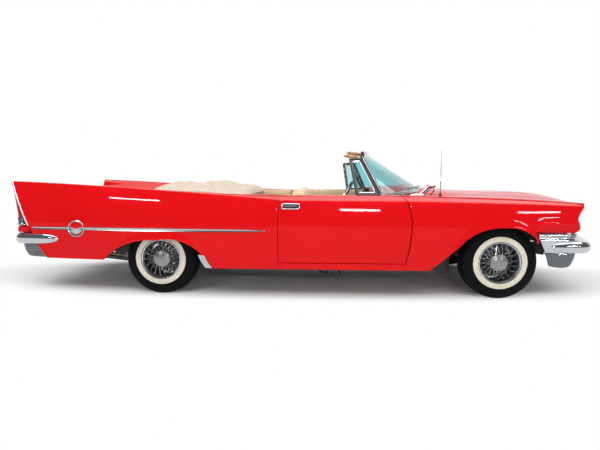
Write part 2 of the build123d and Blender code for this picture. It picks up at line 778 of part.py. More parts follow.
# Chassis: two rails kicked up over the axle, with cross members
RAIL_Y = (400.0, 470.0)
rail_steps = [
    (2480.0, 480.0),
    (1290.0, 480.0),
    (1030.0, 304.0),
    (-830.0, 304.0),
    (-1060.0, 530.0),
    (-1760.0, 530.0),
    (-2000.0, 440.0),
    (-2600.0, 440.0),
    (-2600.0, 340.0),
    (-2030.0, 340.0),
    (-1740.0, 430.0),
    (-1110.0, 430.0),
    (-880.0, 204.0),
    (1060.0, 204.0),
    (1320.0, 380.0),
    (2480.0, 380.0),
]
rail = across(rail_steps, *RAIL_Y)
pad = block(-60, 60, 410, 460, 190, 204)
for x in (700, -500):
    rail = rail + Pos(along(x), 0, 0) * pad
save("frame_rails", rail, other_side(rail))
MEMBERS = [(2300, 390, 470), (900, 215, 295), (-700, 215, 295), (-1900, 410, 450), (-2560, 350, 430)]
members = []
for x, z0, z1 in MEMBERS:
    member = block(x - 40, x + 40, -RAIL_Y[0], RAIL_Y[0], z0, z1)
    member = member - rod((1190, 0, 333), (470, 0, 333), 98) - rod((470, 0, 333), (-1240, 0, 345), 44)
    for y in (-300, 300):
        member = member - rod((1100, y, EXHAUST_Z), (-1900, y, EXHAUST_Z), 32)
    members.append(member)
tow_eye = block(-2596, -2524, -8, 8, 272, 352) - rod((-2560, -20, 295), (-2560, 20, 295), 16)
members[-1] = members[-1] + tow_eye
save("cross_members", *members)

# Floor pan with a tunnel, and behind it the bulkhead, the rear floor and the wheel houses
FLOOR_Z = 306.0
BULKHEAD_X = -640.0
floor = block(BULKHEAD_X, 1000, -POST_Y, POST_Y, FLOOR_Z, FLOOR_Z + 16)
floor = floor - block(BULKHEAD_X - 20, 1001, -135, 135, FLOOR_Z - 6, FLOOR_Z + 24)
tunnel = block(BULKHEAD_X, 1000, -147, 147, FLOOR_Z, 452) - block(-700, 1001, -135, 135, 300, 440)
save("floor_pan", floor + tunnel)
rear_floor = block(BULKHEAD_X - 16, BULKHEAD_X, -POST_Y, POST_Y, FLOOR_Z, 830)
rear_floor = rear_floor + block(BULKHEAD_X - 16, BULKHEAD_X, -700, 700, FLOOR_Z, 945)
rear_floor = rear_floor - block(BULKHEAD_X - 20, BULKHEAD_X + 10, -135, 135, 300, 440)
HOUSE_R = TYRE_R + WHEEL_ROOM
HOUSE_Y = REAR_WHEEL_Y - (TYRE_HALF_W + 20.0) / WIDEN
well = rod((REAR_AXLE, HOUSE_Y, AXLE_Z), (REAR_AXLE, 960, AXLE_Z), HOUSE_R)
house = rod((REAR_AXLE, HOUSE_Y - 10, AXLE_Z), (REAR_AXLE, 930, AXLE_Z), HOUSE_R + 10)
house = house - well - block(-2000, -700, 500, 1000, -100, 556)
back_floor = block(-2620, BULKHEAD_X, -700, 700, 540, 556) - well - other_side(well)
save("rear_floor", rear_floor + back_floor + house + other_side(house))

# Seats and dashboard
front_seat_steps = [
    (-20.0, 452.0),
    (540.0, 452.0),
    (560.0, 600.0),
    ((520.0, 640.0), (440.0, 636.0)),
    (90.0, 600.0),
    (30.0, 985.0),
    ((-15.0, 1018.0), (-70.0, 990.0)),
]
front_seat = across(front_seat_steps, -690, 690)
for y in (-480, 480):
    front_seat = front_seat + block(60, 480, y - 60, y + 60, FLOOR_Z + 16, 452)
save("front_seat", front_seat)
rear_seat_steps = [
    (-638.0, 452.0),
    (-230.0, 452.0),
    (-215.0, 640.0),
    ((-240.0, 676.0), (-290.0, 672.0)),
    (-480.0, 640.0),
    (-540.0, 905.0),
    ((-580.0, 934.0), (-638.0, 928.0)),
]
rear_seat = across(rear_seat_steps, -690, 690)
for y in (-480, 480):
    rear_seat = rear_seat + block(-620, -280, y - 60, y + 60, FLOOR_Z + 16, 452)
save("rear_seat", rear_seat)
COLUMN_LOW = (1000.0, COLUMN_Y, 592.0)
COLUMN_TOP = (500.0, COLUMN_Y, 882.0)
column_end = Vector(*at(*COLUMN_TOP))
column_dir = (column_end - Vector(*at(*COLUMN_LOW))).normalized()
column = rod(COLUMN_LOW, COLUMN_TOP, 30)
column = column - block(1000, 1100, 0, 800, 300, 900)
socket = round_bar(tuple(column_end - column_dir * 40), tuple(column_end + column_dir * 10), 12.4)
column = column - socket
save("steering_column", column)
dash_steps = [
    (859.0, 770.0),
    (859.0, 930.0),
    (760.0, 932.0),
    ((705.0, 920.0), (690.0, 870.0)),
    (720.0, 745.0),
    (780.0, 730.0),
]
dashboard = across(dash_steps, -760, 760) - rod(COLUMN_LOW, COLUMN_TOP, 32) - over
dashboard = dashboard + block(840, 860, 722, 760, 780, 920) + block(840, 860, -760, -722, 780, 920)
save("dashboard", dashboard)

# Steering wheel on its column
wheel_plane = Plane(origin=column_end + column_dir * 45, z_dir=column_dir)
rim_ring = Torus(200, 12)
wheel_hub = Pos(0, 0, -14) * Cylinder(34, 28)
spoke_bar = Box(392, 26, 10)
stub = Pos(0, 0, -55) * Cylinder(12, 60)
steering_wheel = wheel_plane * (rim_ring + wheel_hub + spoke_bar + stub)
save("steering_wheel", steering_wheel)

# Power train
engine = block(1180, 1900, -260, 260, 330, 800) + block(1250, 1850, -120, 120, 800, 900)
save("engine_block", engine)
drive_line = rod((1180, 0, 333), (480, 0, 333), 92) + rod((480, 0, 333), (-1240, 0, 345), 38)
save("drive_line", drive_line)

# Wheels: tyre, rim, crossed wire spokes and hub, turned about Y with the outer face at +Y
tyre_steps = [
    (RIM_R, 88.0),
    (255.0, TYRE_HALF_W),
    (325.0, 88.0),
    (TYRE_R, 66.0),
    (TYRE_R, -66.0),
    (325.0, -88.0),
    (255.0, -TYRE_HALF_W),
    (RIM_R, -88.0),
]
tyre = turned(tyre_steps, Axis.Y)
rim_steps = [
    (RIM_R - 0.2, -92.0),
    (RIM_R + 12, -94.0),
    (RIM_R + 12, -100.0),
    (168.0, -98.0),
    (164.0, 0.0),
    (168.0, 90.0),
    (RIM_R + 10, 102.0),
    (RIM_R + 14, 98.0),
    (RIM_R - 0.2, 92.0),
]
rim = turned(rim_steps, Axis.Y)
hub_steps = [
    (BORE_R, -6.0),
    (HUB_R, -6.0),
    (HUB_R, 30.0),
    (48.0, 40.0),
    (70.0, 62.0),
    (80.0, 76.0),
    ((56.0, 91.0), (10.0, 98.0)),
    (0.0, 98.0),
    (0.0, 84.0),
    (BORE_R, 84.0),
]
hub = turned(hub_steps, Axis.Y)
wire_wheel = rim + hub
for row, (hub_r, hub_y, rim_y, lead) in enumerate(((62.0, 66.0, 20.0, 22.0), (52.0, 20.0, 40.0, -22.0))):
    for index in range(SPOKES_PER_ROW):
        start = radians(360 / SPOKES_PER_ROW * (index + 0.5 * row))
        finish = start + radians(lead)
        inner = (hub_r * cos(start), hub_y, hub_r * sin(start))
        outer = (170 * cos(finish), rim_y, 170 * sin(finish))
        wire_wheel = wire_wheel + round_bar(inner, outer, SPOKE_R)
Corner = namedtuple("Corner", "name x y")
CORNERS = [
    Corner("front_left", FRONT_AXLE, FRONT_WHEEL_Y),
    Corner("front_right", FRONT_AXLE, -FRONT_WHEEL_Y),
    Corner("rear_left", REAR_AXLE, REAR_WHEEL_Y),
    Corner("rear_right", REAR_AXLE, -REAR_WHEEL_Y),
]
for corner in CORNERS:
    for name, piece in (("tyre_", tyre), ("wheel_", wire_wheel)):
        placed = piece if corner.y > 0 else other_side(piece)
        save(name + corner.name, Pos(*at(corner.x, corner.y, AXLE_Z)) * placed)

# Front knuckles on their kingpins, and the arms that hold them
drum_steps = [
    (0.0, -47.0),
    (DRUM_R, -47.0),
    (DRUM_R, -12.0),
    (SPINDLE_R, -12.0),
    (SPINDLE_R, 74.0),
    (0.0, 74.0),
]
drum = turned(drum_steps, Axis.Y)
drum_back = FRONT_WHEEL_Y - 42.0 / WIDEN
knuckle = Pos(*at(FRONT_AXLE, FRONT_WHEEL_Y, AXLE_Z)) * drum
knuckle = knuckle + rod((FRONT_AXLE, KINGPIN_Y, 247), (FRONT_AXLE, KINGPIN_Y, 443), 28)
knuckle = knuckle + block(FRONT_AXLE - 40, FRONT_AXLE + 40, KINGPIN_Y, drum_back, 280, 410)
knuckle = knuckle - rod((FRONT_AXLE, KINGPIN_Y, 240), (FRONT_AXLE, KINGPIN_Y, 275), 12.5)
knuckle = knuckle - rod((FRONT_AXLE, KINGPIN_Y, 415), (FRONT_AXLE, KINGPIN_Y, 450), 12.5)
save("knuckle_left", knuckle)
save("knuckle_right", other_side(knuckle))
low_arm = block(FRONT_AXLE - 30, FRONT_AXLE + 30, 380, KINGPIN_Y, 214, 246)
low_arm = low_arm + rod((FRONT_AXLE, KINGPIN_Y, 214), (FRONT_AXLE, KINGPIN_Y, 246), 30)
low_arm = low_arm + rod((FRONT_AXLE, KINGPIN_Y, 230), (FRONT_AXLE, KINGPIN_Y, 270), 12)
top_arm = block(FRONT_AXLE - 30, FRONT_AXLE + 30, RAIL_Y[1], KINGPIN_Y, 444, 470)
top_arm = top_arm + rod((FRONT_AXLE, KINGPIN_Y, 444), (FRONT_AXLE, KINGPIN_Y, 470), 30)
top_arm = top_arm + rod((FRONT_AXLE, KINGPIN_Y, 420), (FRONT_AXLE, KINGPIN_Y, 450), 12)
cross = block(FRONT_AXLE - 70, FRONT_AXLE + 59, -RAIL_Y[0], RAIL_Y[0], 214, 330)
cross = cross + low_arm + other_side(low_arm)
save("front_suspension", cross, top_arm, other_side(top_arm))

# Rear axle and its leaf springs
axle_drum = Pos(*at(REAR_AXLE, REAR_WHEEL_Y, AXLE_Z)) * drum
tube_y = REAR_WHEEL_Y - 40.0 / WIDEN
axle = rod((REAR_AXLE, -tube_y, AXLE_Z), (REAR_AXLE, tube_y, AXLE_Z), 40)
axle = axle + Pos(*at(REAR_AXLE, 0, AXLE_Z)) * Sphere(128) + axle_drum + other_side(axle_drum)
axle = axle - rod((480, 0, 333), (-1240, 0, 345), 38.4)
save("rear_axle", axle)
spring_steps = [
    (-790.0, 316.0),
    (-790.0, 300.0),
    ((REAR_AXLE, 270.0), (-2010.0, 330.0)),
    (-2010.0, 346.0),
    ((REAR_AXLE, 304.7), (-790.0, 316.0)),
]
spring = across(spring_steps, 500, 560)
save("rear_springs", spring, other_side(spring))

# Exhaust, fuel tank and antenna
pipe = rod((1100, 300, EXHAUST_Z), (-1900, 300, EXHAUST_Z), 26)
pipe = pipe + rod((300, 300, EXHAUST_Z), (-350, 300, EXHAUST_Z), 60)
pipe = pipe + rod((-1900, 300, EXHAUST_Z), (-2440, 300, 290), 26)
pipe = pipe + Pos(*at(-1900, 300, EXHAUST_Z)) * Sphere(26)
for x in (-450, 620):
    pipe = pipe + block(x - 20, x + 20, 280, 320, EXHAUST_Z, FLOOR_Z)
save("exhaust_system", pipe, other_side(pipe))
tank = block(-2480, -2000, -370, 370, 400, 540)
save("fuel_tank", tank)
aerial = rod((1295, -800, 900), (1295, -800, 975), 14) + rod((1295, -800, 960), (1295, -800, 1382), 2.5)
aerial = aerial - other_side(fender_solid)
save("antenna", aerial)
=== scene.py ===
"""A late-1950s two-door convertible with tail fins, dressed over its CAD frame.

Painted skins, bright trim, wire wheels and the tan cabin are grids of points worked out with numpy.
Shapes are written in millimetres in the CAD frame: +X forward, +Y the car's left, +Z up.
"""

import json

import bmesh
import bpy
import numpy as np
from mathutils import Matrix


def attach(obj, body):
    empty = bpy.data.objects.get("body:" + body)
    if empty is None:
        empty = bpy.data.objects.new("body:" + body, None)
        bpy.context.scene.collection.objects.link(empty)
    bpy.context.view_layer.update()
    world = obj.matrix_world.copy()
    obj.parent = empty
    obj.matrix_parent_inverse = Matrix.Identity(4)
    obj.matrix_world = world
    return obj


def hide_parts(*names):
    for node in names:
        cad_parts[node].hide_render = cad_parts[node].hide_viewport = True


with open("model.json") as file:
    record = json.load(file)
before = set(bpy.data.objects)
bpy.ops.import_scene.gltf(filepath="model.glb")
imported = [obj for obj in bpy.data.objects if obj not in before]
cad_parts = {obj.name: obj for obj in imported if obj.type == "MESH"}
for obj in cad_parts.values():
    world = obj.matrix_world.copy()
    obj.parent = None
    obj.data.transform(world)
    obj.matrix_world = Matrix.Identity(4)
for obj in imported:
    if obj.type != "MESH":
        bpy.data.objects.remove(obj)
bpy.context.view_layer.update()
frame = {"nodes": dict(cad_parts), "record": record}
rng = np.random.default_rng(57)

# Side sections of the body: x, then widths and heights of the sill, waist, crease, top, fin and deck edge
FENDER = np.array([
    [2640, 905, 932, 905, 862, 855, 893, 0, 0, 866],
    [2150, 925, 962, 928, 883, 866, 925, 0, 0, 928],
    [1500, 940, 981, 950, 897, 878, 950, 0, 0, 950],
    [860, 950, 989, 959, 903, 885, 966, 0, 0, 958],
], float)
FLANK = np.array([
    [1080, 948, 987, 957, 901, 883, 964, 0, 0, 0],
    [430, 952, 990, 960, 907, 885, 966, 0, 0, 0],
    [-260, 952, 990, 960, 916, 886, 966, 0, 0, 0],
], float)
QUARTER = np.array([
    [-120, 952, 990, 960, 914, 885, 966, 850, 963, 955],
    [-1000, 950, 990, 936, 984, 906, 998, 872, 994, 955],
    [-1900, 936, 982, 916, 1044, 894, 1054, 862, 1050, 935],
    [-2800, 910, 957, 902, 1088, 884, 1098, 850, 1094, 905],
], float)
HOOD = np.array([
    [700, 1018, 960],
    [1500, 1004, 950],
    [2150, 979, 928],
    [2480, 958, 898],
    [2680, 905, 852],
], float)
SILL_Z = 278.0
MID_Z = 600.0
HOOD_EDGE_Y = 640.0
HOOD_HALF = 634.0
DECK_EDGE_Y = 705.0
LID_HALF = 699.0
DOOR_REAR_X = -206.0
DOOR_IN_Y = 858.0
GAP = 6.0
AXLES = {"front": (1841.0, 777.0), "rear": (-1359.0, 758.0)}
AXLE_Z = 345.0
CREASE_BOW = 5.0
DOOR_FRONT_X, DOOR_FOOT_Z = 957.0, 345.0
FENDER_REAR_X, FENDER_FRONT_X = 965.5, 2541.0
TAIL_FOOT_X = -2443.0
SLOPE_SAG = 0.16
METRE_PER_MM = 0.001


def blend_rows(table, x):
    """The table's columns at each x, by the one polynomial that passes through all its rows."""
    x = np.asarray(x, float)
    out = np.zeros(x.shape + (table.shape[1] - 1,))
    for i, row in enumerate(table):
        weight = np.ones_like(x)
        for j, other in enumerate(table):
            if j != i:
                weight = weight * (x - other[0]) / (row[0] - other[0])
        out += weight[..., None] * row[1:]
    return out


def parabola(p, m, q, t):
    """The parabola that leaves p at t = 0, passes m at one half and reaches q at 1."""
    return p * (1 - t) * (1 - 2 * t) + m * 4 * t * (1 - t) + q * t * (2 * t - 1)


def xyz(x, y, z):
    """Three coordinates, spread to one shape, as points."""
    return np.stack(np.broadcast_arrays(x, y, z), -1)


def circle_of(a, b, c):
    """Centre and squared radius of the circle through three points of a plane."""
    (ax, ay), (bx, by), (cx, cy) = a, b, c
    d = 2 * (ax * (by - cy) + bx * (cy - ay) + cx * (ay - by))
    aa, bb, cc = ax**2 + ay**2, bx**2 + by**2, cx**2 + cy**2
    u = (aa * (by - cy) + bb * (cy - ay) + cc * (ay - by)) / d
    v = (aa * (cx - bx) + bb * (ax - cx) + cc * (bx - ax)) / d
    return u, v, (ax - u) ** 2 + (ay - v) ** 2


def circle_y(a, b, c, z):
    """The outer Y at height z on the circle through three (y, z) points."""
    u, v, square = circle_of(a, b, c)
    return u + np.sqrt(np.maximum(square - (z - v) ** 2, 0))


def flank_y(table, x, z):
    """Outer width of the body side: one arc from sill to crease, and a short bowed one from crease to top."""
    r = blend_rows(table, x)
    low, mid = (r[..., 0], np.full_like(z, SILL_Z)), (r[..., 1], np.full_like(z, MID_Z))
    crease, top = (r[..., 2], r[..., 3]), (r[..., 4], r[..., 5])
    dy, dz = top[0] - crease[0], top[1] - crease[1]
    size = np.hypot(dy, dz)
    bow = ((crease[0] + top[0]) / 2 + dz / size * CREASE_BOW, (crease[1] + top[1]) / 2 - dy / size * CREASE_BOW)
    return np.where(z <= crease[1], circle_y(low, mid, crease, z), circle_y(crease, bow, top, z))


def fair(points, times):
    """A grid with its lines softened: each row takes a quarter of both neighbours, the end rows stay."""
    out = points.copy()
    for _ in range(times):
        out[1:-1] = 0.25 * out[:-2] + 0.5 * out[1:-1] + 0.25 * out[2:]
    return out


def unit(v):
    """Vectors brought to length 1."""
    return v / np.maximum(np.linalg.norm(v, axis=-1, keepdims=True), 1e-9)


def normals_of(points, toward):
    """Unit normals of a grid by the cross product of its two slopes, on the side that toward points to."""
    n = unit(np.cross(np.gradient(points, axis=0), np.gradient(points, axis=1)))
    return n if (n @ np.asarray(toward, float)).mean() >= 0 else -n


def hemmed(points, toward, radius=3.0, depth=14.0):
    """A panel grid with all four edges turned in: a quarter round of the radius, then a flange of the depth."""
    n = normals_of(points, toward)
    turn = np.radians([0, 30, 60, 90, 90])
    reach = np.array([0, 0, 0, 0, depth])
    for axis in (0, 1):
        p, m = np.moveaxis(points, axis, 0), np.moveaxis(n, axis, 0)
        ends = []
        for edge, inner in ((0, 1), (-1, -2)):
            out = p[edge] - p[inner]
            out = unit(out - (out * m[edge]).sum(-1, keepdims=True) * m[edge])
            lines = (
                p[edge]
                + radius * (np.sin(turn) - 1)[:, None, None] * out
                - (radius * (1 - np.cos(turn)) + reach)[:, None, None] * m[edge]
            )
            ends.append((lines, np.repeat(m[edge][None], len(turn), 0)))
        p = np.concatenate([ends[0][0][::-1], p[1:-1], ends[1][0]])
        m = np.concatenate([ends[0][1], m[1:-1], ends[1][1]])
        points, n = np.moveaxis(p, 0, axis), np.moveaxis(m, 0, axis)
    return points


def mirrored(points):
    """The same points on the car's other side."""
    return points * np.array([1.0, -1.0, 1.0])


def patch(points, rows_wrap=False, cols_wrap=False, finish=0):
    """A grid of points with the directions that close on themselves and the number of its finish."""
    return np.asarray(points, float), rows_wrap, cols_wrap, finish


def piece(name, patches, finishes, body="body", stands_for=(), toward=None, sharp=42.0):
    """One object from grids: every grid cell is a face, doubles are merged, and faces look outwards.

    With toward, an open sheet is turned to look that way; without it, closed shells are turned outwards.
    """
    finishes = finishes if isinstance(finishes, list) else [finishes]
    corners, faces, kinds, base = [], [], [], 0
    for points, rows_wrap, cols_wrap, kind in patches:
        rows, cols = points.shape[:2]
        i, j = np.meshgrid(
            np.arange(rows if rows_wrap else rows - 1),
            np.arange(cols if cols_wrap else cols - 1),
            indexing="ij",
        )
        k, l = (i + 1) % rows, (j + 1) % cols
        quads = np.stack([i * cols + j, i * cols + l, k * cols + l, k * cols + j], -1).reshape(-1, 4)
        corners.append(points.reshape(-1, 3) * METRE_PER_MM)
        faces.append(quads + base)
        kinds.append(np.full(len(quads), kind))
        base += rows * cols
    corners, faces, kinds = np.concatenate(corners), np.concatenate(faces), np.concatenate(kinds)
    mesh = bpy.data.meshes.new(name)
    mesh.vertices.add(len(corners))
    mesh.vertices.foreach_set("co", corners.astype(np.float32).ravel())
    mesh.loops.add(faces.size)
    mesh.loops.foreach_set("vertex_index", faces.astype(np.int32).ravel())
    mesh.polygons.add(len(faces))
    mesh.polygons.foreach_set("loop_start", np.arange(0, faces.size, 4, dtype=np.int32))
    mesh.polygons.foreach_set("material_index", kinds.astype(np.int32))
    mesh.update(calc_edges=True)
    shape = bmesh.new()
    shape.from_mesh(mesh)
    bmesh.ops.remove_doubles(shape, verts=shape.verts, dist=1e-5)
    bmesh.ops.dissolve_degenerate(shape, edges=shape.edges, dist=1e-6)
    bmesh.ops.recalc_face_normals(shape, faces=shape.faces)
    shape.to_mesh(mesh)
    shape.free()
    if toward is not None:
        area, normal = np.empty(len(mesh.polygons)), np.empty(len(mesh.polygons) * 3)
        mesh.polygons.foreach_get("area", area)
        mesh.polygons.foreach_get("normal", normal)
        if area @ (normal.reshape(-1, 3) @ np.asarray(toward, float)) < 0:
            mesh.flip_normals()
    mesh.polygons.foreach_set("use_smooth", np.ones(len(mesh.polygons), bool))
    mesh.set_sharp_from_angle(angle=np.radians(sharp))
    for coat in finishes:
        mesh.materials.append(coat)
    thing = bpy.data.objects.new(name, mesh)
    bpy.context.scene.collection.objects.link(thing)
    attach(thing, body)
    if stands_for:
        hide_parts(*stands_for)
    return thing


def pair(name, patches, finishes, body="body", stands_for=None, toward=None, sharp=42.0):
    """The same piece on the car's left and, mirrored, on its right; {} in a name stands for the side."""
    made = []
    for side in ("left", "right"):
        moved, look = patches, toward
        if side == "right":
            moved = [(mirrored(p[0]),) + p[1:] for p in patches]
            look = None if toward is None else mirrored(np.array(toward, float))
        nodes = (stands_for.format(side),) if stands_for else ()
        made.append(piece(name.format(side), moved, finishes, body.format(side), nodes, look, sharp))
    return made


def run_of(points):
    """How far along a polyline each of its points lies."""
    return np.concatenate([[0], np.cumsum(np.linalg.norm(np.diff(points, axis=0), axis=1))])


def way_of(points, count):
    """A polyline shared out into evenly spaced points along its length."""
    points = np.asarray(points, float)
    run = run_of(points)
    at = np.linspace(0, run[-1], count)
    return np.stack([np.interp(at, run, points[:, k]) for k in range(points.shape[1])], -1)


def rounded_way(points, radii, count):
    """A path whose corners are arcs of the given radii, tangent to both runs, evenly spaced."""
    points = np.asarray(points, float)
    out = [points[:1]]
    for here, before, after, radius in zip(points[1:-1], points[:-2], points[2:], radii):
        a, b = unit(before - here), unit(after - here)
        half = np.arccos(np.clip(a @ b, -1, 1)) / 2
        cut = radius / np.tan(half)
        centre = here + unit(a + b) * radius / np.sin(half)
        start, end = here + a * cut - centre, here + b * cut - centre
        sweep = np.pi - 2 * half
        t = np.linspace(0, 1, 25)[:, None]
        out.append(centre + (np.sin((1 - t) * sweep) * start + np.sin(t * sweep) * end) / np.sin(sweep))
    out.append(points[-1:])
    return way_of(np.concatenate(out), count)


def carried(path, profile, up=(0, 0, 1), scale=None):
    """A profile of (out, up) offsets carried along a path: out lies across the path, square to up."""
    path = np.asarray(path, float)
    run = unit(np.gradient(path, axis=0))
    out = unit(np.cross(run, np.asarray(up, float) * np.ones_like(path)))
    lift = np.cross(out, run)
    scale = np.ones(len(path)) if scale is None else np.asarray(scale, float)
    profile = np.asarray(profile, float)
    scale = scale[:, None, None]
    return path[:, None] + scale * profile[:, :1] * out[:, None] + scale * profile[:, 1:] * lift[:, None]


def capped(grid):
    """A tube's grid closed at both ends by a last ring drawn to its middle."""
    first = np.repeat(grid[:1].mean(1, keepdims=True), grid.shape[1], 1)
    last = np.repeat(grid[-1:].mean(1, keepdims=True), grid.shape[1], 1)
    return np.concatenate([first, grid, last])


def ring(a, b=None, count=16, power=2.0):
    """A closed superellipse outline of half width a and half height b."""
    t = np.linspace(0, 2 * np.pi, count, endpoint=False)
    b = a if b is None else b
    c, s = np.cos(t), np.sin(t)
    return np.stack([a * np.sign(c) * np.abs(c) ** (2 / power), b * np.sign(s) * np.abs(s) ** (2 / power)], -1)


def rod(path, profile, finish=0, up=(0, 0, 1), scale=None):
    """A closed bar: a profile carried along a path, both ends drawn shut."""
    return patch(capped(carried(path, profile, up, scale)), False, True, finish)


def tube(path, radius, count=12, up=(0, 0, 1), finish=0):
    """A round bar along a path."""
    return rod(path, ring(radius, count=count), finish, up)


def spun(profile, count, at, axis, sweep=360.0):
    """A profile of (radius, along) turned about an axis through a point, all the way or part of it."""
    profile, axis = np.asarray(profile, float), unit(np.asarray(axis, float))
    first = unit(np.cross(axis, [0.0, 0.0, 1.0])) if abs(axis[2]) < 0.9 else np.array([1.0, 0.0, 0.0])
    second = np.cross(axis, first)
    t = np.radians(np.linspace(0, sweep, count, endpoint=sweep < 360))[:, None, None]
    radial = np.cos(t) * first + np.sin(t) * second
    return np.asarray(at, float) + profile[None, :, :1] * radial + profile[None, :, 1:] * axis


def bow(p, m, q, count):
    """Points on the circle through p, m and q in space, m lying over the middle of the chord."""
    p, m, q = (np.asarray(v, float) for v in (p, m, q))
    chord = np.linalg.norm(q - p)
    u, middle = (q - p) / chord, (p + q) / 2
    rise = m - middle - ((m - middle) @ u) * u
    sag = np.linalg.norm(rise)
    radius = (chord**2 / 4 + sag**2) / (2 * sag)
    half = np.arcsin(chord / 2 / radius)
    a = np.linspace(-half, half, count)[:, None]
    return middle + (rise / sag) * (sag - radius) + radius * (np.sin(a) * u + np.cos(a) * rise / sag)


def turned(profile, count, at, axis, finish=0):
    """A patch of a profile turned all the way round."""
    return patch(spun(profile, count, at, axis), True, False, finish)


def linear(colour):
    """An sRGB hex colour as linear red, green, blue and full alpha."""
    c = np.array([int(colour[k:k + 2], 16) for k in (1, 3, 5)]) / 255
    c = np.where(c <= 0.04045, c / 12.92, ((c + 0.055) / 1.055) ** 2.4)
    return (*c.tolist(), 1.0)


def add(tree, kind, settings=(), values=(), links=()):
    """Adds a node: settings are its properties, values its sockets, links pairs of socket and source socket."""
    node = tree.nodes.new(kind)
    for key, value in dict(settings).items():
        setattr(node, key, value)
    for key, value in dict(values).items():
        node.inputs[key].default_value = value
    for key, source in dict(links).items():
        tree.links.new(source, node.inputs[key])
    return node


def surface(name, colour, metallic=0.0, roughness=0.5, **sockets):
    """A new material with one shader, whose plain values sit on its own sockets."""
    material = bpy.data.materials.new(name)
    material.use_nodes = True
    tree = material.node_tree
    shader = tree.nodes["Principled BSDF"]
    shader.inputs["Base Color"].default_value = linear(colour)
    shader.inputs["Metallic"].default_value = metallic
    shader.inputs["Roughness"].default_value = roughness
    for key, value in sockets.items():
        shader.inputs[key.replace("_", " ")].default_value = value
    return material, tree, shader


def grain(tree, size_mm, detail=3.0, stretch=(1, 1, 1), kind="ShaderNodeTexNoise"):
    """Noise, or cells, on Object coordinates whose waves are the given size in millimetres."""
    place = add(tree, "ShaderNodeTexCoord")
    spread = add(tree, "ShaderNodeMapping", values={"Scale": stretch}, links={"Vector": place.outputs["Object"]})
    values = {"Scale": 1000.0 / size_mm}
    if kind == "ShaderNodeTexNoise":
        values["Detail"] = detail
    node = add(tree, kind, values=values, links={"Vector": spread.outputs["Vector"]})
    return node.outputs["Fac" if kind == "ShaderNodeTexNoise" else "Distance"]


def bumped(tree, shader, height, strength, depth_mm):
    """A bump of that depth on the shader's normal."""
    bump = add(tree, "ShaderNodeBump", values={"Strength": strength, "Distance": depth_mm * METRE_PER_MM},
               links={"Height": height})
    tree.links.new(bump.outputs["Normal"], shader.inputs["Normal"])


def shaded(tree, shader, fac, low, high, socket="Base Color"):
    """A socket that runs between two colours or two grey values with a pattern."""
    ramp = add(tree, "ShaderNodeValToRGB", links={"Fac": fac})
    ramp.color_ramp.elements[0].position = 0.3
    ramp.color_ramp.elements[1].position = 0.7
    for stop, value in zip(ramp.color_ramp.elements, (low, high)):
        stop.color = linear(value) if isinstance(value, str) else (value, value, value, 1.0)
    tree.links.new(ramp.outputs["Color"], shader.inputs[socket])


CELLS = (3.0, (1, 1, 1), "ShaderNodeTexVoronoi")


def finish(name, slot, colour, shade=None, relief=None, **look):
    """A material; the slot argument is not used.

    shade is a grain, the two ends it runs between and their socket; relief is a grain, a strength and a depth in mm.
    """
    material, tree, shader = surface(name, colour, **look)
    if shade:
        shaded(tree, shader, grain(tree, *shade[0]), *shade[1:])
    if relief:
        bumped(tree, shader, grain(tree, *relief[0]), *relief[1:])
    return material


# Acrylic enamel, sprayed and polished: deep red with a clear gloss and a faint orange peel
red_enamel = finish("red_enamel", "body_paint", "#d8121a", ((420,), "#d60f15", "#dc1218"), ((9, 1.0), 0.05, 0.15),
                    roughness=0.4, Specular_IOR_Level=0.0, Coat_Weight=1.0, Coat_Roughness=0.02, Coat_IOR=1.23)
# Enamel on unseen inner metal: the same red, painted darker as shade inside the wheel arches, and dusty
painted_shade_red = finish("inner_red_enamel", "body_paint", "#6e0a10", ((60,), "#5c0a0f", "#7a0d13"), roughness=0.55)
# Chromium plate over polished steel: bright, a little cool, with soft polishing haze
chrome = finish("chromium_plate", "chrome", "#c2c5c9", ((80,), 0.045, 0.095, "Roughness"), metallic=1.0, roughness=0.07)
# Stainless steel trim, rolled and buffed along its length: a softer shine with fine lines
ROLLED = (6, 2.0, (0.03, 1, 1))
stainless = finish("buffed_stainless", "chrome", "#bcc0c4", (ROLLED, 0.16, 0.28, "Roughness"), (ROLLED, 0.05, 0.05),
                   metallic=1.0, roughness=0.2)
# Anodised strip: pale, satin
satin_strip = finish("satin_anodised", "chrome", "#dfe6e8", ((5, 2.0, (1, 1, 0.05)), 0.32, 0.44, "Roughness"),
                     metallic=0.55, roughness=0.38)
# Plated wires, a little duller than the rims, with dust between them
wire_plate = finish("plated_wire", "chrome", "#a9abad", ((22,), "#96989a", "#b5b7b9"), metallic=1.0, roughness=0.16)
# Spun steel of the hub caps: satin, with fine turning marks and a hammered look
spun_steel = finish("spun_steel", "chrome", "#97999b", ((7, 3.0), "#808284", "#a6a8aa"), ((5, 2.0), 0.35, 0.6),
                    metallic=1.0, roughness=0.36)
# Plated steel pressing of the lower bumper panels: duller grey, lightly weathered
dull_plate = finish("weathered_plate", "chrome", "#6a6e70", ((35,), "#62666a", "#707477"), ((3, 2.0), 0.06, 0.05),
                    metallic=0.85, roughness=0.34)
# Tinted safety glass: clear, a faint blue-green
tint_glass = finish("tinted_glass", "glass", "#b4e2e6", ((500,), 0.0, 0.012, "Roughness"), roughness=0.0, IOR=1.22,
                    Transmission_Weight=1.0)
# Pressed lamp glass: clear, with upright flutes
lamp_glass = finish("lamp_glass", "lamp_glass", "#f1f5f6", None, ((10, 0.0, (1, 1, 0.12)), 0.35, 1.2), roughness=0.02,
                    IOR=1.5, Transmission_Weight=1.0)
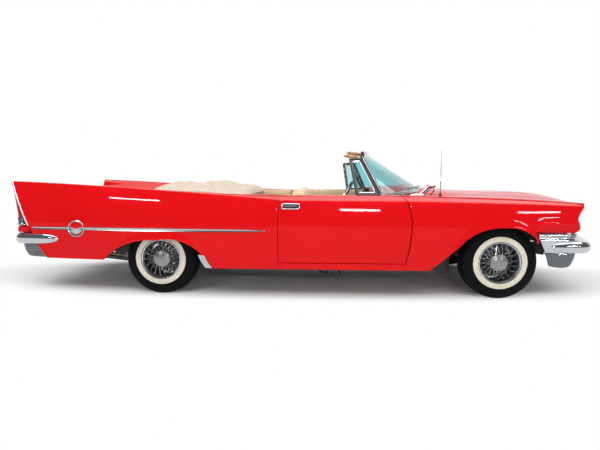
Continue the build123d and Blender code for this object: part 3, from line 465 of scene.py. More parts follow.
# Moulded red lens plastic, ribbed inside
red_lens = finish("red_lens", "red_lens", "#a4040e", None, ((8, 0.0, (0.2, 0.2, 1)), 0.3, 0.8), roughness=0.2, IOR=1.49,
                  Transmission_Weight=0.1, Specular_IOR_Level=0.3)
# Carbon-black tyre rubber, moulded: matt, with a bloom of dust
rubber = finish("tyre_rubber", "tyre", "#09090a", ((25,), "#070708", "#0e0e0f"), ((2.5,), 0.12, 0.2), roughness=0.7,
                Specular_IOR_Level=0.12)
# Whitewall rubber, buffed: warm cream, slightly stained
whitewall = finish("whitewall_rubber", "tyre", "#dcd7c5", ((30,), "#d6d0bb", "#e2ddcd"), ((1.5,), 0.06, 0.1),
                   roughness=0.5)
# Coated vinyl cloth of the boot cover: tan, with a fine woven face
boot_vinyl = finish("coated_vinyl", "boot_cloth", "#d6c4b2", ((70, 5.0), "#cfbca8", "#dccbbb"), ((4, 2.0), 0.25, 0.5),
                    roughness=0.68, Specular_IOR_Level=0.12)
# Drum-dyed leather: tan hide with pebbled grain
tan_leather = finish("tan_hide", "leather", "#e2c6a6", ((90, 4.0), "#dabd9a", "#e6ccae"), ((5, *CELLS), 0.3, 0.5),
                     roughness=0.5, Specular_IOR_Level=0.25)
# Loop-pile carpet in brown-tan wool
carpet = finish("loop_carpet", "leather", "#8d7454", ((14, 4.0), "#7b6346", "#9c8361"), ((6, *CELLS), 0.8, 2.0),
                roughness=0.95, Sheen_Weight=0.4)
# Black soft rubber of the seals and moulded knobs
black_rubber = finish("seal_rubber", "dark_plastic", "#151617", None, ((3,), 0.1, 0.2), roughness=0.55)
# Chassis black, brushed on over steel, with road dust
chassis_black = finish("chassis_black", "dark_metal", "#1b1b1c", ((90, 6.0), "#161617", "#2b2825"), ((6,), 0.2, 0.4),
                       roughness=0.6)
# Cast iron and forged steel, oily and dark
cast_iron = finish("cast_iron", "iron", "#262626", ((40, 5.0), "#1b1a1a", "#323130"), ((3,), 0.35, 0.4), metallic=0.5,
                   roughness=0.6)
# Aluminised exhaust steel, heat-stained
exhaust_steel = finish("exhaust_steel", "steel", "#6d6a66", ((110, 5.0), "#57524c", "#7d7b78"), metallic=0.85,
                       roughness=0.42)

FINISH_OF_SLOT = {
    "body_paint": red_enamel, "chrome": chrome, "glass": tint_glass, "lamp_glass": lamp_glass,
    "red_lens": red_lens, "tyre": rubber, "leather": tan_leather, "boot_cloth": boot_vinyl,
    "dark_metal": chassis_black, "iron": cast_iron, "steel": exhaust_steel, "trim_red": red_enamel,
    "dark_plastic": black_rubber,
}
for part in frame["record"]["subparts"]:
    mesh = frame["nodes"][part["node"]].data
    mesh.materials.clear()
    mesh.materials.append(FINISH_OF_SLOT[part["material_slot"]])


# Body side: columns stand upright at a base x and bend near the ends to follow the panel's edges
def side_panel(table, base_x, bottom_z, bend, low_rows, high_rows, over, relief=None):
    """A body-side grid from its lower edge up to the crease and on to the top edge, then over the top.

    bend(x, z) moves a column sideways at height z; over gives the lines that follow inwards from the top;
    relief(x, z, height over the lower edge) is pressed outwards.
    """
    r = blend_rows(table, base_x)
    t = np.linspace(0, 1, low_rows)[:, None]
    lower = bottom_z + (r[:, 3] - bottom_z) * t
    t = np.linspace(0, 1, high_rows)[1:, None]
    upper = r[:, 3] + (r[:, 5] - r[:, 3]) * t
    z = np.concatenate([lower, upper])
    x = bend(base_x[None] + 0 * z, z)
    rows = blend_rows(table, x)
    z = np.concatenate([
        bottom_z + (rows[:low_rows, :, 3] - bottom_z) * np.linspace(0, 1, low_rows)[:, None],
        rows[low_rows:, :, 3] + (rows[low_rows:, :, 5] - rows[low_rows:, :, 3]) * t,
    ])
    x = bend(base_x[None] + 0 * z, z)
    y = flank_y(table, x, z)
    if relief is not None:
        y = y + relief(base_x[None] + 0 * z, z, z - bottom_z)
    side = xyz(x, y, z)
    return np.concatenate([side, over(side[-1])])


def ease(a, b, x):
    """A smooth step from 0 at a to 1 at b."""
    t = np.clip((x - a) / (b - a), 0, 1)
    return t * t * (3 - 2 * t)


def arc_z(points, x):
    """Height on a chain of (x, z) points joined by straight runs; arcs come as closely set points."""
    points = np.asarray(points, float)
    order = np.argsort(points[:, 0], kind="stable")
    return np.interp(x, points[order, 0], points[order, 1])


def arc_points(p, m, q, count=24):
    """Points on the circle through p, m and q, from p to q."""
    u, v, square = circle_of(p, m, q)
    a0, a1, a2 = (np.arctan2(y - v, x - u) for x, y in (p, m, q))
    turn = (a2 - a0) % (2 * np.pi)
    if (a1 - a0) % (2 * np.pi) > turn:
        turn -= 2 * np.pi
    a = a0 + turn * np.linspace(0, 1, count)
    return np.stack([u + np.sqrt(square) * np.cos(a), v + np.sqrt(square) * np.sin(a)], -1)


DOOR_EDGE = np.concatenate([
    [(DOOR_FRONT_X, 200.0)],
    arc_points((DOOR_FRONT_X, DOOR_FOOT_Z), (993.7, 529.4), (1006.0, 720.0)),
    arc_points((1006.0, 720.0), (985.5, 850.4), (926.0, 968.0)),
])


def door_edge_x(z):
    """The x of the door's front edge at a height."""
    return np.interp(z, DOOR_EDGE[:, 1], DOOR_EDGE[:, 0])


NOSE_Z = [632.0, 650.0, 667.0, 690.0, 735.0, 760.0, 785.0, 912.0]
NOSE_X = [2466.0, 2494.0, 2506.0, 2502.0, 2486.0, 2480.0, 2489.0, 2568.0]
front_arch = np.concatenate([
    [(960.0, SILL_Z), (1189.0, SILL_Z), (1443.0, 512.0)],
    arc_points((1443.0, 512.0), (1614.0, 641.0), (1830.0, 680.0)),
    arc_points((1830.0, 680.0), (2010.0, 655.0), (2159.0, 545.0)),
    [(2162.0, 545.0), (2163.0, 634.0), (2545.0, 633.0)],
])
x = np.concatenate([
    np.linspace(FENDER_REAR_X, 1189, 16), np.linspace(1200, 1443, 18), np.linspace(1456, 2159, 56),
    [2162, 2163], np.linspace(2172, FENDER_FRONT_X, 34),
])


def fender_bend(x, z):
    """Columns near the door follow its edge across a gap, those near the nose its notched outline."""
    rear = (1 - ease(FENDER_REAR_X, 1200, x)) * (door_edge_x(z) + 8.5 - FENDER_REAR_X)
    front = ease(2200, FENDER_FRONT_X, x) * (np.interp(z, NOSE_Z, NOSE_X) - FENDER_FRONT_X)
    return x + rear + front


def fender_over(top):
    """From the fender's top edge across to the hood gap, a bow of 8."""
    r = blend_rows(FENDER, top[:, 0])
    edge = xyz(top[:, 0], HOOD_EDGE_Y, r[:, 8])
    middle = (top + edge) / 2 + np.array([0, 0, 8.0])
    return np.stack([parabola(top, middle, edge, q) for q in np.linspace(0, 1, 15)[1:]])


def arch_flare(x, z, height):
    """The rolled lip round the wheel opening, which runs on forward over the tucked-under lower edge."""
    lip = 10 * np.exp(-((height / 46) ** 2)) * ease(1195, 1330, x) * (1 - ease(2080, 2165, x))
    ridge = 7 * np.exp(-(((z - 724) / 30) ** 2)) * ease(2060, 2230, x)
    tuck = 24 * (1 - ease(632, 700, z)) * ease(2166, 2200, x)
    hidden = 48 * (1 - ease(630, 648, z)) * ease(-18, 2, x - 2096 - (700 - z) * 0.445) * (1 - ease(2166, 2200, x))
    return lip + ridge - tuck - hidden


grid = side_panel(FENDER, x, arc_z(front_arch, x), fender_bend, 48, 9, fender_over, arch_flare)
nose_edge = grid[:, -1]
front_fender = hemmed(fair(grid, 1), (0, 1, 0.4), 4.0, 16.0)
pair("front_fender_skin_{}", [patch(front_fender)], red_enamel, "body", "front_fender_{}", (0, 1, 0.3))

# Quarter panel with its fin
rear_arch = np.concatenate([
    [(-2560.0, 364.0), (-2443.0, 362.0), (-1882.0, 350.0)],
    arc_points((-1882.0, 350.0), (-1640.0, 507.0), (-1350.0, 545.0)),
    arc_points((-1350.0, 545.0), (-1040.0, 505.0), (-844.0, SILL_Z)),
    [(-200.0, SILL_Z)],
])
TAIL_Z = [362.0, 508.0, 610.0, 672.0, 1098.0]
TAIL_X = [-2443.0, -2530.0, -2560.0, -2594.0, -2768.0]
x = np.concatenate([
    np.linspace(TAIL_FOOT_X, -1895, 44), np.linspace(-1882, -844, 96), np.linspace(-830, -212, 40),
])


def quarter_bend(x, z):
    """Columns near the tail follow its slanted end."""
    return x + (1 - ease(TAIL_FOOT_X, -1900, x)) * (np.interp(z, TAIL_Z, TAIL_X) - TAIL_FOOT_X)


def quarter_over(top):
    """Over the fin's blunt top to its inner edge, then down a sagging slope to the deck gap."""
    r = blend_rows(QUARTER, top[:, 0])
    fin = xyz(top[:, 0], r[:, 6], r[:, 7])
    deck = xyz(top[:, 0], DECK_EDGE_Y, r[:, 8])
    middle = (fin + deck) / 2 - xyz(0.0, 0.0, 4 + (r[:, 7] - r[:, 8]) * SLOPE_SAG)
    blunt = [top + (fin - top) * q for q in (0.34, 0.67, 1.0)]
    slope = [parabola(fin, middle, deck, q) for q in np.linspace(0, 1, 13)[1:]]
    return np.stack(blunt + slope)


def rear_flare(x, z, height):
    """The rolled lip round the rear wheel opening, fading out at both ends."""
    lip = 9 * np.exp(-((height / 46) ** 2))
    return lip * ease(-1890, -1780, x) * (1 - ease(-960, -850, x))


grid = side_panel(QUARTER, x, arc_z(rear_arch, x), quarter_bend, 48, 7, quarter_over, rear_flare)
quarter = hemmed(fair(grid, 1), (0, 1, 0.4), 4.0, 16.0)
pair("quarter_skin_{}", [patch(quarter)], red_enamel, "body", "quarter_panel_{}", (0, 1, 0.3))


# Doors and the rocker below them
def door_bend(x, z):
    """Columns are spread between the upright rear edge and the curved front edge."""
    return DOOR_REAR_X + (x - DOOR_REAR_X) / (DOOR_FRONT_X - DOOR_REAR_X) * (door_edge_x(z) - DOOR_REAR_X)


def door_over(top):
    """The door's top, level from its outer edge in to the trim line."""
    inner = top * np.array([1, 0, 1]) + np.array([0, DOOR_IN_Y, 0])
    return np.stack([top + (inner - top) * q for q in (0.25, 0.5, 0.75, 1.0)])


x = DOOR_REAR_X + np.linspace(0, 1, 72) * (DOOR_FRONT_X - DOOR_REAR_X)
grid = side_panel(FLANK, x, np.full_like(x, DOOR_FOOT_Z), door_bend, 44, 9, door_over)
door = hemmed(fair(grid, 1), (0, 1, 0.2), 3.0, 20.0)
# A strip closes the door's rear and lower edges, from behind the skin in to the trim
EDGE_FOOT_Z = DOOR_FOOT_Z + 4
edge_z = np.concatenate([np.linspace(955, EDGE_FOOT_Z, 40), np.full(70, EDGE_FOOT_Z)])
edge_end = float(door_edge_x(np.array(EDGE_FOOT_Z))) - 10
edge_x = np.concatenate([np.full(40, DOOR_REAR_X + 1.0), np.linspace(DOOR_REAR_X + 2, edge_end, 70)])
edge_out = flank_y(FLANK, edge_x, edge_z) - 8
door_edge = np.stack([
    xyz(edge_x, edge_out + (DOOR_IN_Y - 1 - edge_out) * k, edge_z) for k in np.linspace(0, 1, 6)
])
pair("door_skin_{}", [patch(door), patch(door_edge)], red_enamel, "door_{}", "door_{}", (0, 1, 0.2))

x, z = np.meshgrid(np.linspace(DOOR_REAR_X - GAP, FENDER_REAR_X, 60), np.linspace(SILL_Z, DOOR_FOOT_Z - GAP, 8))
rocker = hemmed(xyz(x, flank_y(FLANK, x, z), z), (0, 1, 0), 3.0, 60.0)
piece("rocker_skins", [patch(rocker), patch(mirrored(rocker))], red_enamel, stands_for=("rocker_panels",))


# Hood and trunk lid
def crown_z(x, y):
    """Height of the hood's crown: an arc across, its rise taken from the lengthwise table."""
    r = blend_rows(HOOD, x)
    return r[..., 1] + (r[..., 0] - r[..., 1]) * (1 - (y / HOOD_HALF) ** 2)


def hood_rear_x(y):
    """The hood's rear edge, an arc that follows the windshield."""
    return -25.6 + np.sqrt(1425.6**2 - y**2)


def hood_front_x(y):
    """The hood's front edge, a flat arc over the grille."""
    return -677.5 + np.sqrt(3302.5**2 - y**2)


s, y = np.meshgrid(np.linspace(0, 1, 90), np.linspace(-HOOD_HALF, HOOD_HALF, 74), indexing="ij")
x = hood_rear_x(y) + s * (hood_front_x(y) - hood_rear_x(y))
ridge = 5.0 * np.exp(-((np.abs(y) - 210) / 34.0) ** 2) * np.sin(np.pi * np.clip(s, 0, 1)) ** 0.7
hood = hemmed(xyz(x, y * 1.001, crown_z(x, y) + ridge + 1), (0, 0, 1), 3.0, 18.0)
piece("hood_skin", [patch(hood)], red_enamel, "hood", toward=(0, 0, 1))

top_line = np.concatenate([
    arc_points((-1722.0, 985.0), (-2150.0, 968.0), (-2560.0, 918.0), 40),
    arc_points((-2560.0, 918.0), (-2640.0, 885.0), (-2676.0, 800.0), 24)[1:],
    [(-2692.0, 650.0)],
])
top_line = way_of(top_line, 90)
fall = np.interp(top_line[:, 1], [650, 800, 885], [0.0, 0.5, 1.0])
y = np.linspace(-LID_HALF, LID_HALF, 70)
lid = fair(xyz(top_line[:, None, 0], y[None], top_line[:, None, 1] - 34 * fall[:, None] * (y[None] / LID_HALF) ** 2), 2)
lid = hemmed((lid + normals_of(lid, (-0.3, 0, 1))) * [1, 1.001, 1], (-0.3, 0, 1), 3.0, 18.0)
piece("trunk_skin", [patch(lid)], red_enamel, "trunk_lid", toward=(-0.3, 0, 1))

# Wheels: tyre with whitewall and ribbed tread, rim, crossed wires, hub and cap
bead = [(180, 86), (186, 96), (194, 101.5), (197, 103)]
white = [(198, 103.6), (205, 104.6), (222, 105.6), (238, 105.4), (245, 104.4)]
wall = [(246.5, 103.4), (248, 104.6), (262, 105.6), (285, 103.4), (306, 98), (322, 90), (333, 81), (340, 73)]
outside = np.array(bead + white + wall)
TYRE_R, TREAD_HALF = 345.0, 68.0
tread_y = np.linspace(TREAD_HALF, -TREAD_HALF, 55)
tread = np.stack([np.full_like(tread_y, TYRE_R), tread_y], -1)
profile = np.concatenate([outside, tread, outside[::-1] * [1, -1]])
whites = slice(len(bead) - 1, len(bead) + len(white))


def tyre_grid(at, outer):
    """The tyre's profile turned about its axle, with four zigzag grooves and shoulder cuts in the tread."""
    grid = spun(profile, 208, (0, 0, 0), (0, 1, 0))
    turn = np.linspace(0, 52, 208, endpoint=False)[:, None]
    zigzag = 4 * (2 * np.abs(turn % 1 - 0.5) - 0.5) * 1.6
    y = tread_y[None]
    cut = 2.2 * (y / TREAD_HALF) ** 4
    for line in (-44.0, -15.0, 15.0, 44.0):
        cut = cut + 7 * np.exp(-(((y - line - zigzag) / 3.0) ** 2))
    cut = cut + 4 * (np.abs(y) > 54) * (np.floor(turn * 2) % 2)
    span = slice(len(outside), len(outside) + len(tread_y))
    grid[:, span, ::2] *= 1 - (cut / TYRE_R)[..., None]
    return grid * [1, outer, 1] + at


rim_profile = np.array([
    (180, -94), (192, -95), (193, -99), (188, -101), (170, -97), (165, -60), (160, -10), (163, 20), (166, 48),
    (170, 80), (176, 88), (179, 97), (184, 102), (190, 103), (193.5, 101), (193, 96), (186, 92), (180, 90),
], float)
hub_profile = np.array([
    (0, -6), (56, -6), (58, -2), (58, 24), (54, 30), (47, 40), (46, 48), (56, 56), (68, 62), (72, 66), (79, 72),
    (80.5, 76), (79, 80), (74, 83), (70, 83.4), (67, 84.6), (52, 90), (34, 94.5), (12, 97), (0, 97.3),
], float)


def spoke_set(rows, count):
    """Straight wires from hub to rim; each row leans alternately to either side of the radius."""
    wires = []
    for hub_r, hub_y, rim_r, rim_y, lead, offset in rows:
        a = np.radians(360 / count * (np.arange(count) + offset))
        b = a + np.radians(lead)
        wires.append((
            xyz(hub_r * np.cos(a), np.full(count, hub_y), hub_r * np.sin(a)),
            xyz(rim_r * np.cos(b), np.full(count, rim_y), rim_r * np.sin(b)),
        ))
    return np.concatenate([w[0] for w in wires]), np.concatenate([w[1] for w in wires])


SPOKE_ROWS = [(60, 62, 168, 42, 24, 0.0), (60, 58, 168, 34, -24, 0.5), (56, 20, 166, 20, 30, 0.25),
              (56, 14, 165, 10, -30, 0.75)]
spoke_in, spoke_out = spoke_set(SPOKE_ROWS, 20)
for end in ("front", "rear"):
    for side, outer in (("left", 1.0), ("right", -1.0)):
        corner = end + "_" + side
        body = "wheel_" + corner
        ax, ay = AXLES[end]
        hub_at = (ax, outer * ay, AXLE_Z)
        full = tyre_grid(np.array(hub_at), outer)
        parts = [patch(full[:, :whites.start + 1], True), patch(full[:, whites], True, False, 1),
                 patch(full[:, whites.stop - 1:], True)]
        piece("tyre_" + corner + "_skin", parts, [rubber, whitewall], body, ("tyre_" + corner,), sharp=60)
        out = (0, outer, 0)
        hub = spun(hub_profile, 72, hub_at, out)
        parts = [patch(spun(rim_profile, 96, hub_at, out), True, True), patch(hub[:, :9], True, False, 1),
                 patch(hub[:, 8:], True, False, 2)]
        for a, b in zip(spoke_in, spoke_out):
            path = np.stack([a, b]) * [1, outer, 1] + hub_at
            parts.append(tube(path, 3.0, 6, (b[2], 0.3, -b[0]), 1))
        piece("wire_wheel_" + corner, parts, [chrome, wire_plate, spun_steel], body, ("wheel_" + corner,), sharp=35)

# Bumpers: a panel whose rows run round the car's end, and a torpedo blade in front of it
BLADE_D, BLADE_H = 42.0, 52.0
FRONT_BACK_SET, FRONT_OUT_SET = 98, -14
FRONT_SEAM_Z = 452.0
RADII = (105, 700, 1500, 700, 105)
front_plan = [(2240.0, 938.0), (2575.0, 926.0), (2712.0, 580.0), (2741.0, 0.0)]
rear_plan = [(-2300.0, 966.0), (-2740.0, 934.0), (-2741.5, 640.0), (-2742.0, 0.0)]


def bumper_line(plan, back, inward, count):
    """A bumper's line seen from above, moved back and inward, from its left tip to the car's middle."""
    sign = np.sign(plan[-1][0])
    near = [(x - sign * back, y - inward) for x, y in plan[:-1]]
    middle = (plan[-1][0] - sign * back, 0.0)
    whole = rounded_way(near + [middle] + [(x, -y) for x, y in reversed(near)], RADII, 2 * count - 1)
    return whole[:count]


def bumper_panel(plan, back, inward, start_x, top_z, low_z, shape, rows, cols):
    """Rows of one height run from the cut end to the middle.

    shape(z, depth below the top, y) moves them outwards; four rounds settle where each row starts.
    """
    plan = [(plan[0][0] - np.sign(plan[0][0]) * 160, plan[0][1] + 4)] + list(plan[1:])
    way = bumper_line(plan, back, inward, 240)
    sign = np.sign(way[-1, 0])
    run = run_of(way)
    slope = unit(np.gradient(way, axis=0))
    out = np.stack([-slope[:, 1], slope[:, 0]], -1) * sign
    t, s = np.linspace(0, 1, rows)[:, None], np.linspace(0, 1, cols)[None]
    z = 630 + (320 - 630) * t + 0 * s
    for _ in range(4):
        first = np.interp(sign * start_x(z), sign * way[:, 0], run)
        at = first + (run[-1] - first) * s
        x, y = np.interp(at, run, way[:, 0]), np.interp(at, run, way[:, 1])
        z = top_z(y) + (low_z(x) - top_z(y)) * t
    push = shape(z, top_z(y) - z, y)
    x = x + push * np.interp(at, run, out[:, 0])
    y = y + push * np.interp(at, run, out[:, 1])
    half = xyz(x, y, z)
    half[:, -1, 1] = 0
    return np.concatenate([half, mirrored(half)[:, -2::-1]], 1)


def blade(plan, z):
    """A torpedo blade: an ellipse carried round the bumper's line and drawn to a blunt point at both tips."""
    half = bumper_line(plan, 0, 0, 120)
    way = np.concatenate([half, half[-2::-1] * [1, -1]])
    run = run_of(way)
    from_tip = np.minimum(run, run[-1] - run)
    scale = np.sqrt(np.clip(1 - (1 - np.clip(from_tip / 210.0, 0, 1)) ** 2.2, 0.0004, 1))
    path = np.column_stack([way, np.full(len(way), z)])
    return patch(capped(carried(path, ring(BLADE_D, BLADE_H, 32, 2.2), scale=scale)), False, True)


def front_shape(z, depth, y):
    """A rolled lip under the top edge, a seam, and below it a panel that curves under."""
    lip = 9 * np.exp(-(((depth - 16) / 12) ** 2)) - 8 * np.exp(-(((depth - 40) / 14) ** 2))
    seam = -7 * np.exp(-(((z - FRONT_SEAM_Z) / 3.2) ** 2))
    return 4 + lip + seam - 44 * (np.clip(FRONT_SEAM_Z - z, 0, None) / 143) ** 1.7


def front_start(z):
    """The slanted cut behind which the panel ends, at a height."""
    return 2096 + (700 - z) * 163 / 366


def front_low(x):
    """The panel's lower edge, lowest below the blade's side."""
    return np.interp(x, [2259, 2300, 2377, 2450, 2527, 2620, 2800], [330, 318, 309, 318, 347, 420, 420])


def corner_rise(y):
    """How far the bumper's top edge stands higher at the corners than before the grille."""
    return 70 * ease(610, 720, np.abs(y))


def front_top(y):
    """The panel's top edge."""
    return 560 + corner_rise(y)


grid = bumper_panel(front_plan, FRONT_BACK_SET, FRONT_OUT_SET, front_start, front_top, front_low, front_shape, 64, 110)
shell = hemmed(grid, (1, 0, 0), 3.0, 16.0)
split = 4 + int(np.argmin(np.abs(grid[:, 4, 2] - FRONT_SEAM_Z)))
parts = [blade(front_plan, 505.0), patch(shell[:split + 1]), patch(shell[split:], finish=1)]
for y in (-435.0, 435.0):
    parts.append(tube([(2480, y, 462), (2712, y, 462)], 24, 16))
piece("front_bumper_plate", parts, [chrome, dull_plate], stands_for=("front_bumper",))
# Painted pan that falls from the grille's foot to the bumper's top edge
way = bumper_line(front_plan, FRONT_BACK_SET, FRONT_OUT_SET, 240)[::-1]
y = np.linspace(-637, 637, 90)
pan_front = np.interp(np.abs(y), way[:, 1], way[:, 0]) - 3
run = np.linspace(0, 1, 30)[:, None]
PAN_REAR_X, PAN_REAR_Z, PAN_FRONT_Z = 2446, 644, 558
pan_x = PAN_REAR_X + (pan_front - PAN_REAR_X) * run
pan_z = PAN_REAR_Z + (PAN_FRONT_Z - PAN_REAR_Z) * run**1.6 + corner_rise(y) * run**1.6
pan = hemmed(xyz(pan_x, y, pan_z), (0.3, 0, 1), 2.0, 6.0)
piece("grille_pan", [patch(pan)], red_enamel, toward=(0.3, 0, 1))


def rear_shape(z, depth, y):
    """The panel curves under below the blade, little in the middle and fully at the corners."""
    return 2 - 46 * (np.clip(548 - z, 0, None) / 186) ** 2.4 * (0.12 + 0.88 * ease(700, 830, np.abs(y)))


def rear_start(z):
    """The quarter panel's slanted end, where the rear panel begins."""
    return np.interp(z, TAIL_Z[:3], TAIL_X[:3])


def rear_low(x):
    """The panel's lower edge, which rises towards the middle."""
    return np.interp(x, [-2760, -2722, -2690, -2640, -2560, TAIL_FOOT_X], [394, 392, 384, 372, 365, 362])


grid = bumper_panel(rear_plan, 20, 2, rear_start, lambda y: 560 + 0 * y, rear_low, rear_shape, 40, 110)
shell = hemmed(grid, (-1, 0, 0), 3.0, 16.0)
parts = [blade(rear_plan, 552.0), patch(shell, finish=1)]
for y in (-1.0, 1.0):
    bolt = [(0, 7), (6, 6), (9, 3), (10, 0), (14, -1), (14, -8)]
    parts.append(turned(bolt, 20, (-2604, y * 922, 442), (0, y, -0.3)))
    parts.append(tube([(-2735, y * 435, 548), (-2600, y * 435, 548)], 22, 16))
piece("rear_bumper_plate", parts, [chrome, dull_plate], stands_for=("rear_bumper",))

# Side spear: a shallow two-faced moulding from behind the lamp to the door, with a round boss on it
SPEAR_REAR_X, SPEAR_TIP_X = -2553, -325
s = np.linspace(0, 1, 160)
path_x = SPEAR_REAR_X + s * (SPEAR_TIP_X - SPEAR_REAR_X)
mid_z = np.interp(path_x, [SPEAR_REAR_X, -1400, SPEAR_TIP_X], [655.5, 646, 642])
half_h = np.interp(path_x, [SPEAR_REAR_X, -2530, -1400, -500, SPEAR_TIP_X], [8, 12.5, 17.5, 12, 5])
section = np.array([(-1.06, -3), (-1, 4), (-0.75, 9), (-0.12, 6), (0, 5.2), (0.12, 6), (0.8, 11), (1, 5), (1.06, -3)])
z = mid_z[:, None] + half_h[:, None] * section[None, :, 0]
x = path_x[:, None] + 0 * z
rise = np.sin(np.pi * np.clip(s / 0.02, 0, 0.5)) * np.sin(np.pi * np.clip((1 - s) / 0.02, 0, 0.5))
spear = xyz(x, flank_y(QUARTER, x, z) + section[None, :, 1] * rise[:, None], z)
BOSS_X, BOSS_Z = -2111.0, 654.0
boss_at = np.array([BOSS_X, float(flank_y(QUARTER, np.array(BOSS_X), np.array(BOSS_Z))), BOSS_Z])
boss_ring = [(82, -6), (82, 8), (79, 14), (73, 16), (68, 13), (65, 7), (64, 2)]
boss_cone = [(64, 2), (56, 0), (44, 3), (28, 9), (14, 14), (6, 16), (0, 16.4)]
ring_grid = spun(boss_ring, 72, boss_at, (0, 1, -0.03))
cone_grid = spun(boss_cone, 73, boss_at, (0, 1, -0.03), 359.999)
low_half, high_half = cone_grid[:37], cone_grid[36:]
if low_half[18, 2, 2] > high_half[18, 2, 2]:
    low_half, high_half = high_half, low_half
parts = [patch(spear), patch(ring_grid, True), patch(low_half), patch(high_half, finish=1)]
spears = pair("side_spear_{}", parts, [stainless, red_enamel], toward=(0, 1, 0), sharp=30)
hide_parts("side_spears")

# Fin edge: a bright strip down the slanted end, the lens behind it and the lamp foot
fin_z = np.linspace(676, 1096, 60)
fin_x = np.interp(fin_z, TAIL_Z, TAIL_X) - 1
fin_y = flank_y(QUARTER, fin_x, np.minimum(fin_z, 1092))
strip_path = xyz(fin_x - 1, fin_y - 5, fin_z)
strip = carried(strip_path, ring(8, 9.5, 16, 2.6), up=(0, 1, 0))
lamp_foot = spun([(0, 24), (20, 23.5), (36, 19), (46, 9), (49, 0), (46, -9), (36, -19), (20, -23.5), (0, -24)],
                 48, (0, 0, 0), (0, 0, 1)) * [1.08, 0.95, 0.9] + [-2704.0, 872.0, 681.0]
housing = spun([(0, 30), (20, 30), (33, 27), (37, 20), (38, 0), (37, -30)], 40, (0, 0, 0), (0, 0, 1))
housing = housing * [1.04, 1.1, 1.0] + [-2708.0, 872.0, 726.0]
parts = [patch(capped(strip), False, True), patch(lamp_foot, True, finish=1), patch(housing, True, finish=2)]
pair("fin_edge_{}", parts, [satin_strip, chrome, dull_plate])
lens_z = np.linspace(752, 1076, 110)
lens_x = np.interp(lens_z, TAIL_Z, TAIL_X)
lens_back = np.minimum(np.interp(lens_z, [752, 948, 1100], [-2741, -2758, -2776]), lens_x - 6)
turn = np.linspace(0, 2 * np.pi, 40, endpoint=False)
rib = 1.6 * np.abs(np.sin(np.pi * lens_z / 17))
deep, wide = (lens_x + 14 - lens_back) / 2 - rib, np.interp(lens_z, [752, 948, 1076], [44, 40, 26]) - rib
lens_y = np.minimum(flank_y(QUARTER, lens_x, lens_z) - 10 - wide, 876)
lens = xyz(
    ((lens_x + 14 + lens_back) / 2)[:, None] + deep[:, None] * np.cos(turn),
    lens_y[:, None] + wide[:, None] * np.sin(turn), lens_z[:, None] + 0 * turn,
)
lenses = pair("tail_lens_{}", [patch(capped(lens), False, True)], red_lens, sharp=50)
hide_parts("tail_lamps")
ledge_loop = rounded_way([(-2545, 716), (-2545, 940), (-2748, 926), (-2748, 712), (-2546, 712)], (4, 52, 12), 120)
ledge_mid = np.array([-2640.0, 820.0])
rows = []
for size, z in ((0.0, 661), (0.96, 661), (0.99, 659), (1.0, 654), (1.0, 616), (0.985, 610), (0.0, 610)):
    rows.append(np.column_stack([ledge_mid + (ledge_loop - ledge_mid) * size, np.full(len(ledge_loop), float(z))]))
pair("tail_ledge_{}", [patch(np.stack(rows), False, True)], red_enamel)

# Gravel guard on the front of the rear wheel opening
down, over = np.meshgrid(np.linspace(0, 1, 24), np.linspace(0, 1, 14), indexing="ij")
gx = -958 + 60 * down + 62 * over + 6 * over * down - 7 * np.sin(np.pi * down)
gz = 416 - 131 * down - 9 * over + 4 * over * down + 3 * np.sin(np.pi * down)
gy = flank_y(QUARTER, gx, gz) + 6 + 5 * (1 - down)
guard = hemmed(xyz(gx, gy, gz), (0, 1, 0), 2.5, 12.0)
pair("gravel_guard_{}", [patch(guard)], stainless, toward=(0, 1, 0))

# Lamp recess: from the fender's front edge back to a panel, with two lamps in bright rims
loop = np.concatenate([nose_edge, [(2545, 641, 800), (2520, 641, 700), (2500, 700, 636), (2490, 820, 634)]])
loop = way_of(np.concatenate([loop, loop[:1]]), 121)
LAMP_X, LAMP_Z = 2428.0, 762.0
centre = np.array([LAMP_X, 776.0, LAMP_Z])
back = centre + (loop - centre) * [0, 0.93, 0.9]
rows = [loop + (back - loop) * k for k in (0.0, 0.06, 0.3, 0.65, 1.0)]
rows += [back + (centre - back) * k for k in (0.06, 0.4, 1.0)]
pair("lamp_recess_{}", [patch(np.stack(rows))], red_enamel, toward=(1, 0, 0))
lamp_rim = [(74, 0), (74, 16), (71, 24), (66, 27), (61, 24), (58.5, 16)]
bowl = [(58, 16), (52, 6), (38, -6), (20, -12), (0, -14)]
dome = [(58.5, 14), (58, 22), (50, 33), (36, 41), (18, 45), (0, 46)]
inner = [(0, 42), (18, 41), (36, 37), (50, 29), (56, 19), (56, 14)]
rims, lenses = [], []
for y in (838.0, 714.0):
    at = (LAMP_X, y, LAMP_Z)
    rims.append(turned(lamp_rim, 64, at, (1, 0, 0)))
    rims.append(turned(bowl, 64, (LAMP_X + 6, y, LAMP_Z), (1, 0, 0)))
    lenses.append(patch(spun(dome + inner, 64, at, (1, 0, 0)), True, True))
pair("lamp_rims_{}", rims, chrome)
lamps = pair("lamp_lenses_{}", lenses, lamp_glass)
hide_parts("headlamps")
brow = nose_edge[30:58]
pair("brow_edge_{}", [tube(brow + [1.0, 0, 0], 3.4, 10, (0, 1, 0.2))], stainless)

# Wheel opening liners behind the arches, in the red painted darker as shade
for name, table, curve, depth in (
    ("front_liner_{}", FENDER, front_arch[1:-3], 62.0),
    ("rear_liner_{}", QUARTER, rear_arch[2:-1], 84.0),
):
    line = way_of(curve, 70)
    y = flank_y(table, line[:, 0], line[:, 1])
    k = np.linspace(0, 1, 8)[:, None]
    liner = xyz(line[:, 0], y - 10 - depth * k, line[:, 1] + 14 * np.sin(np.pi * k / 2))
    pair(name, [patch(liner)], painted_shade_red)

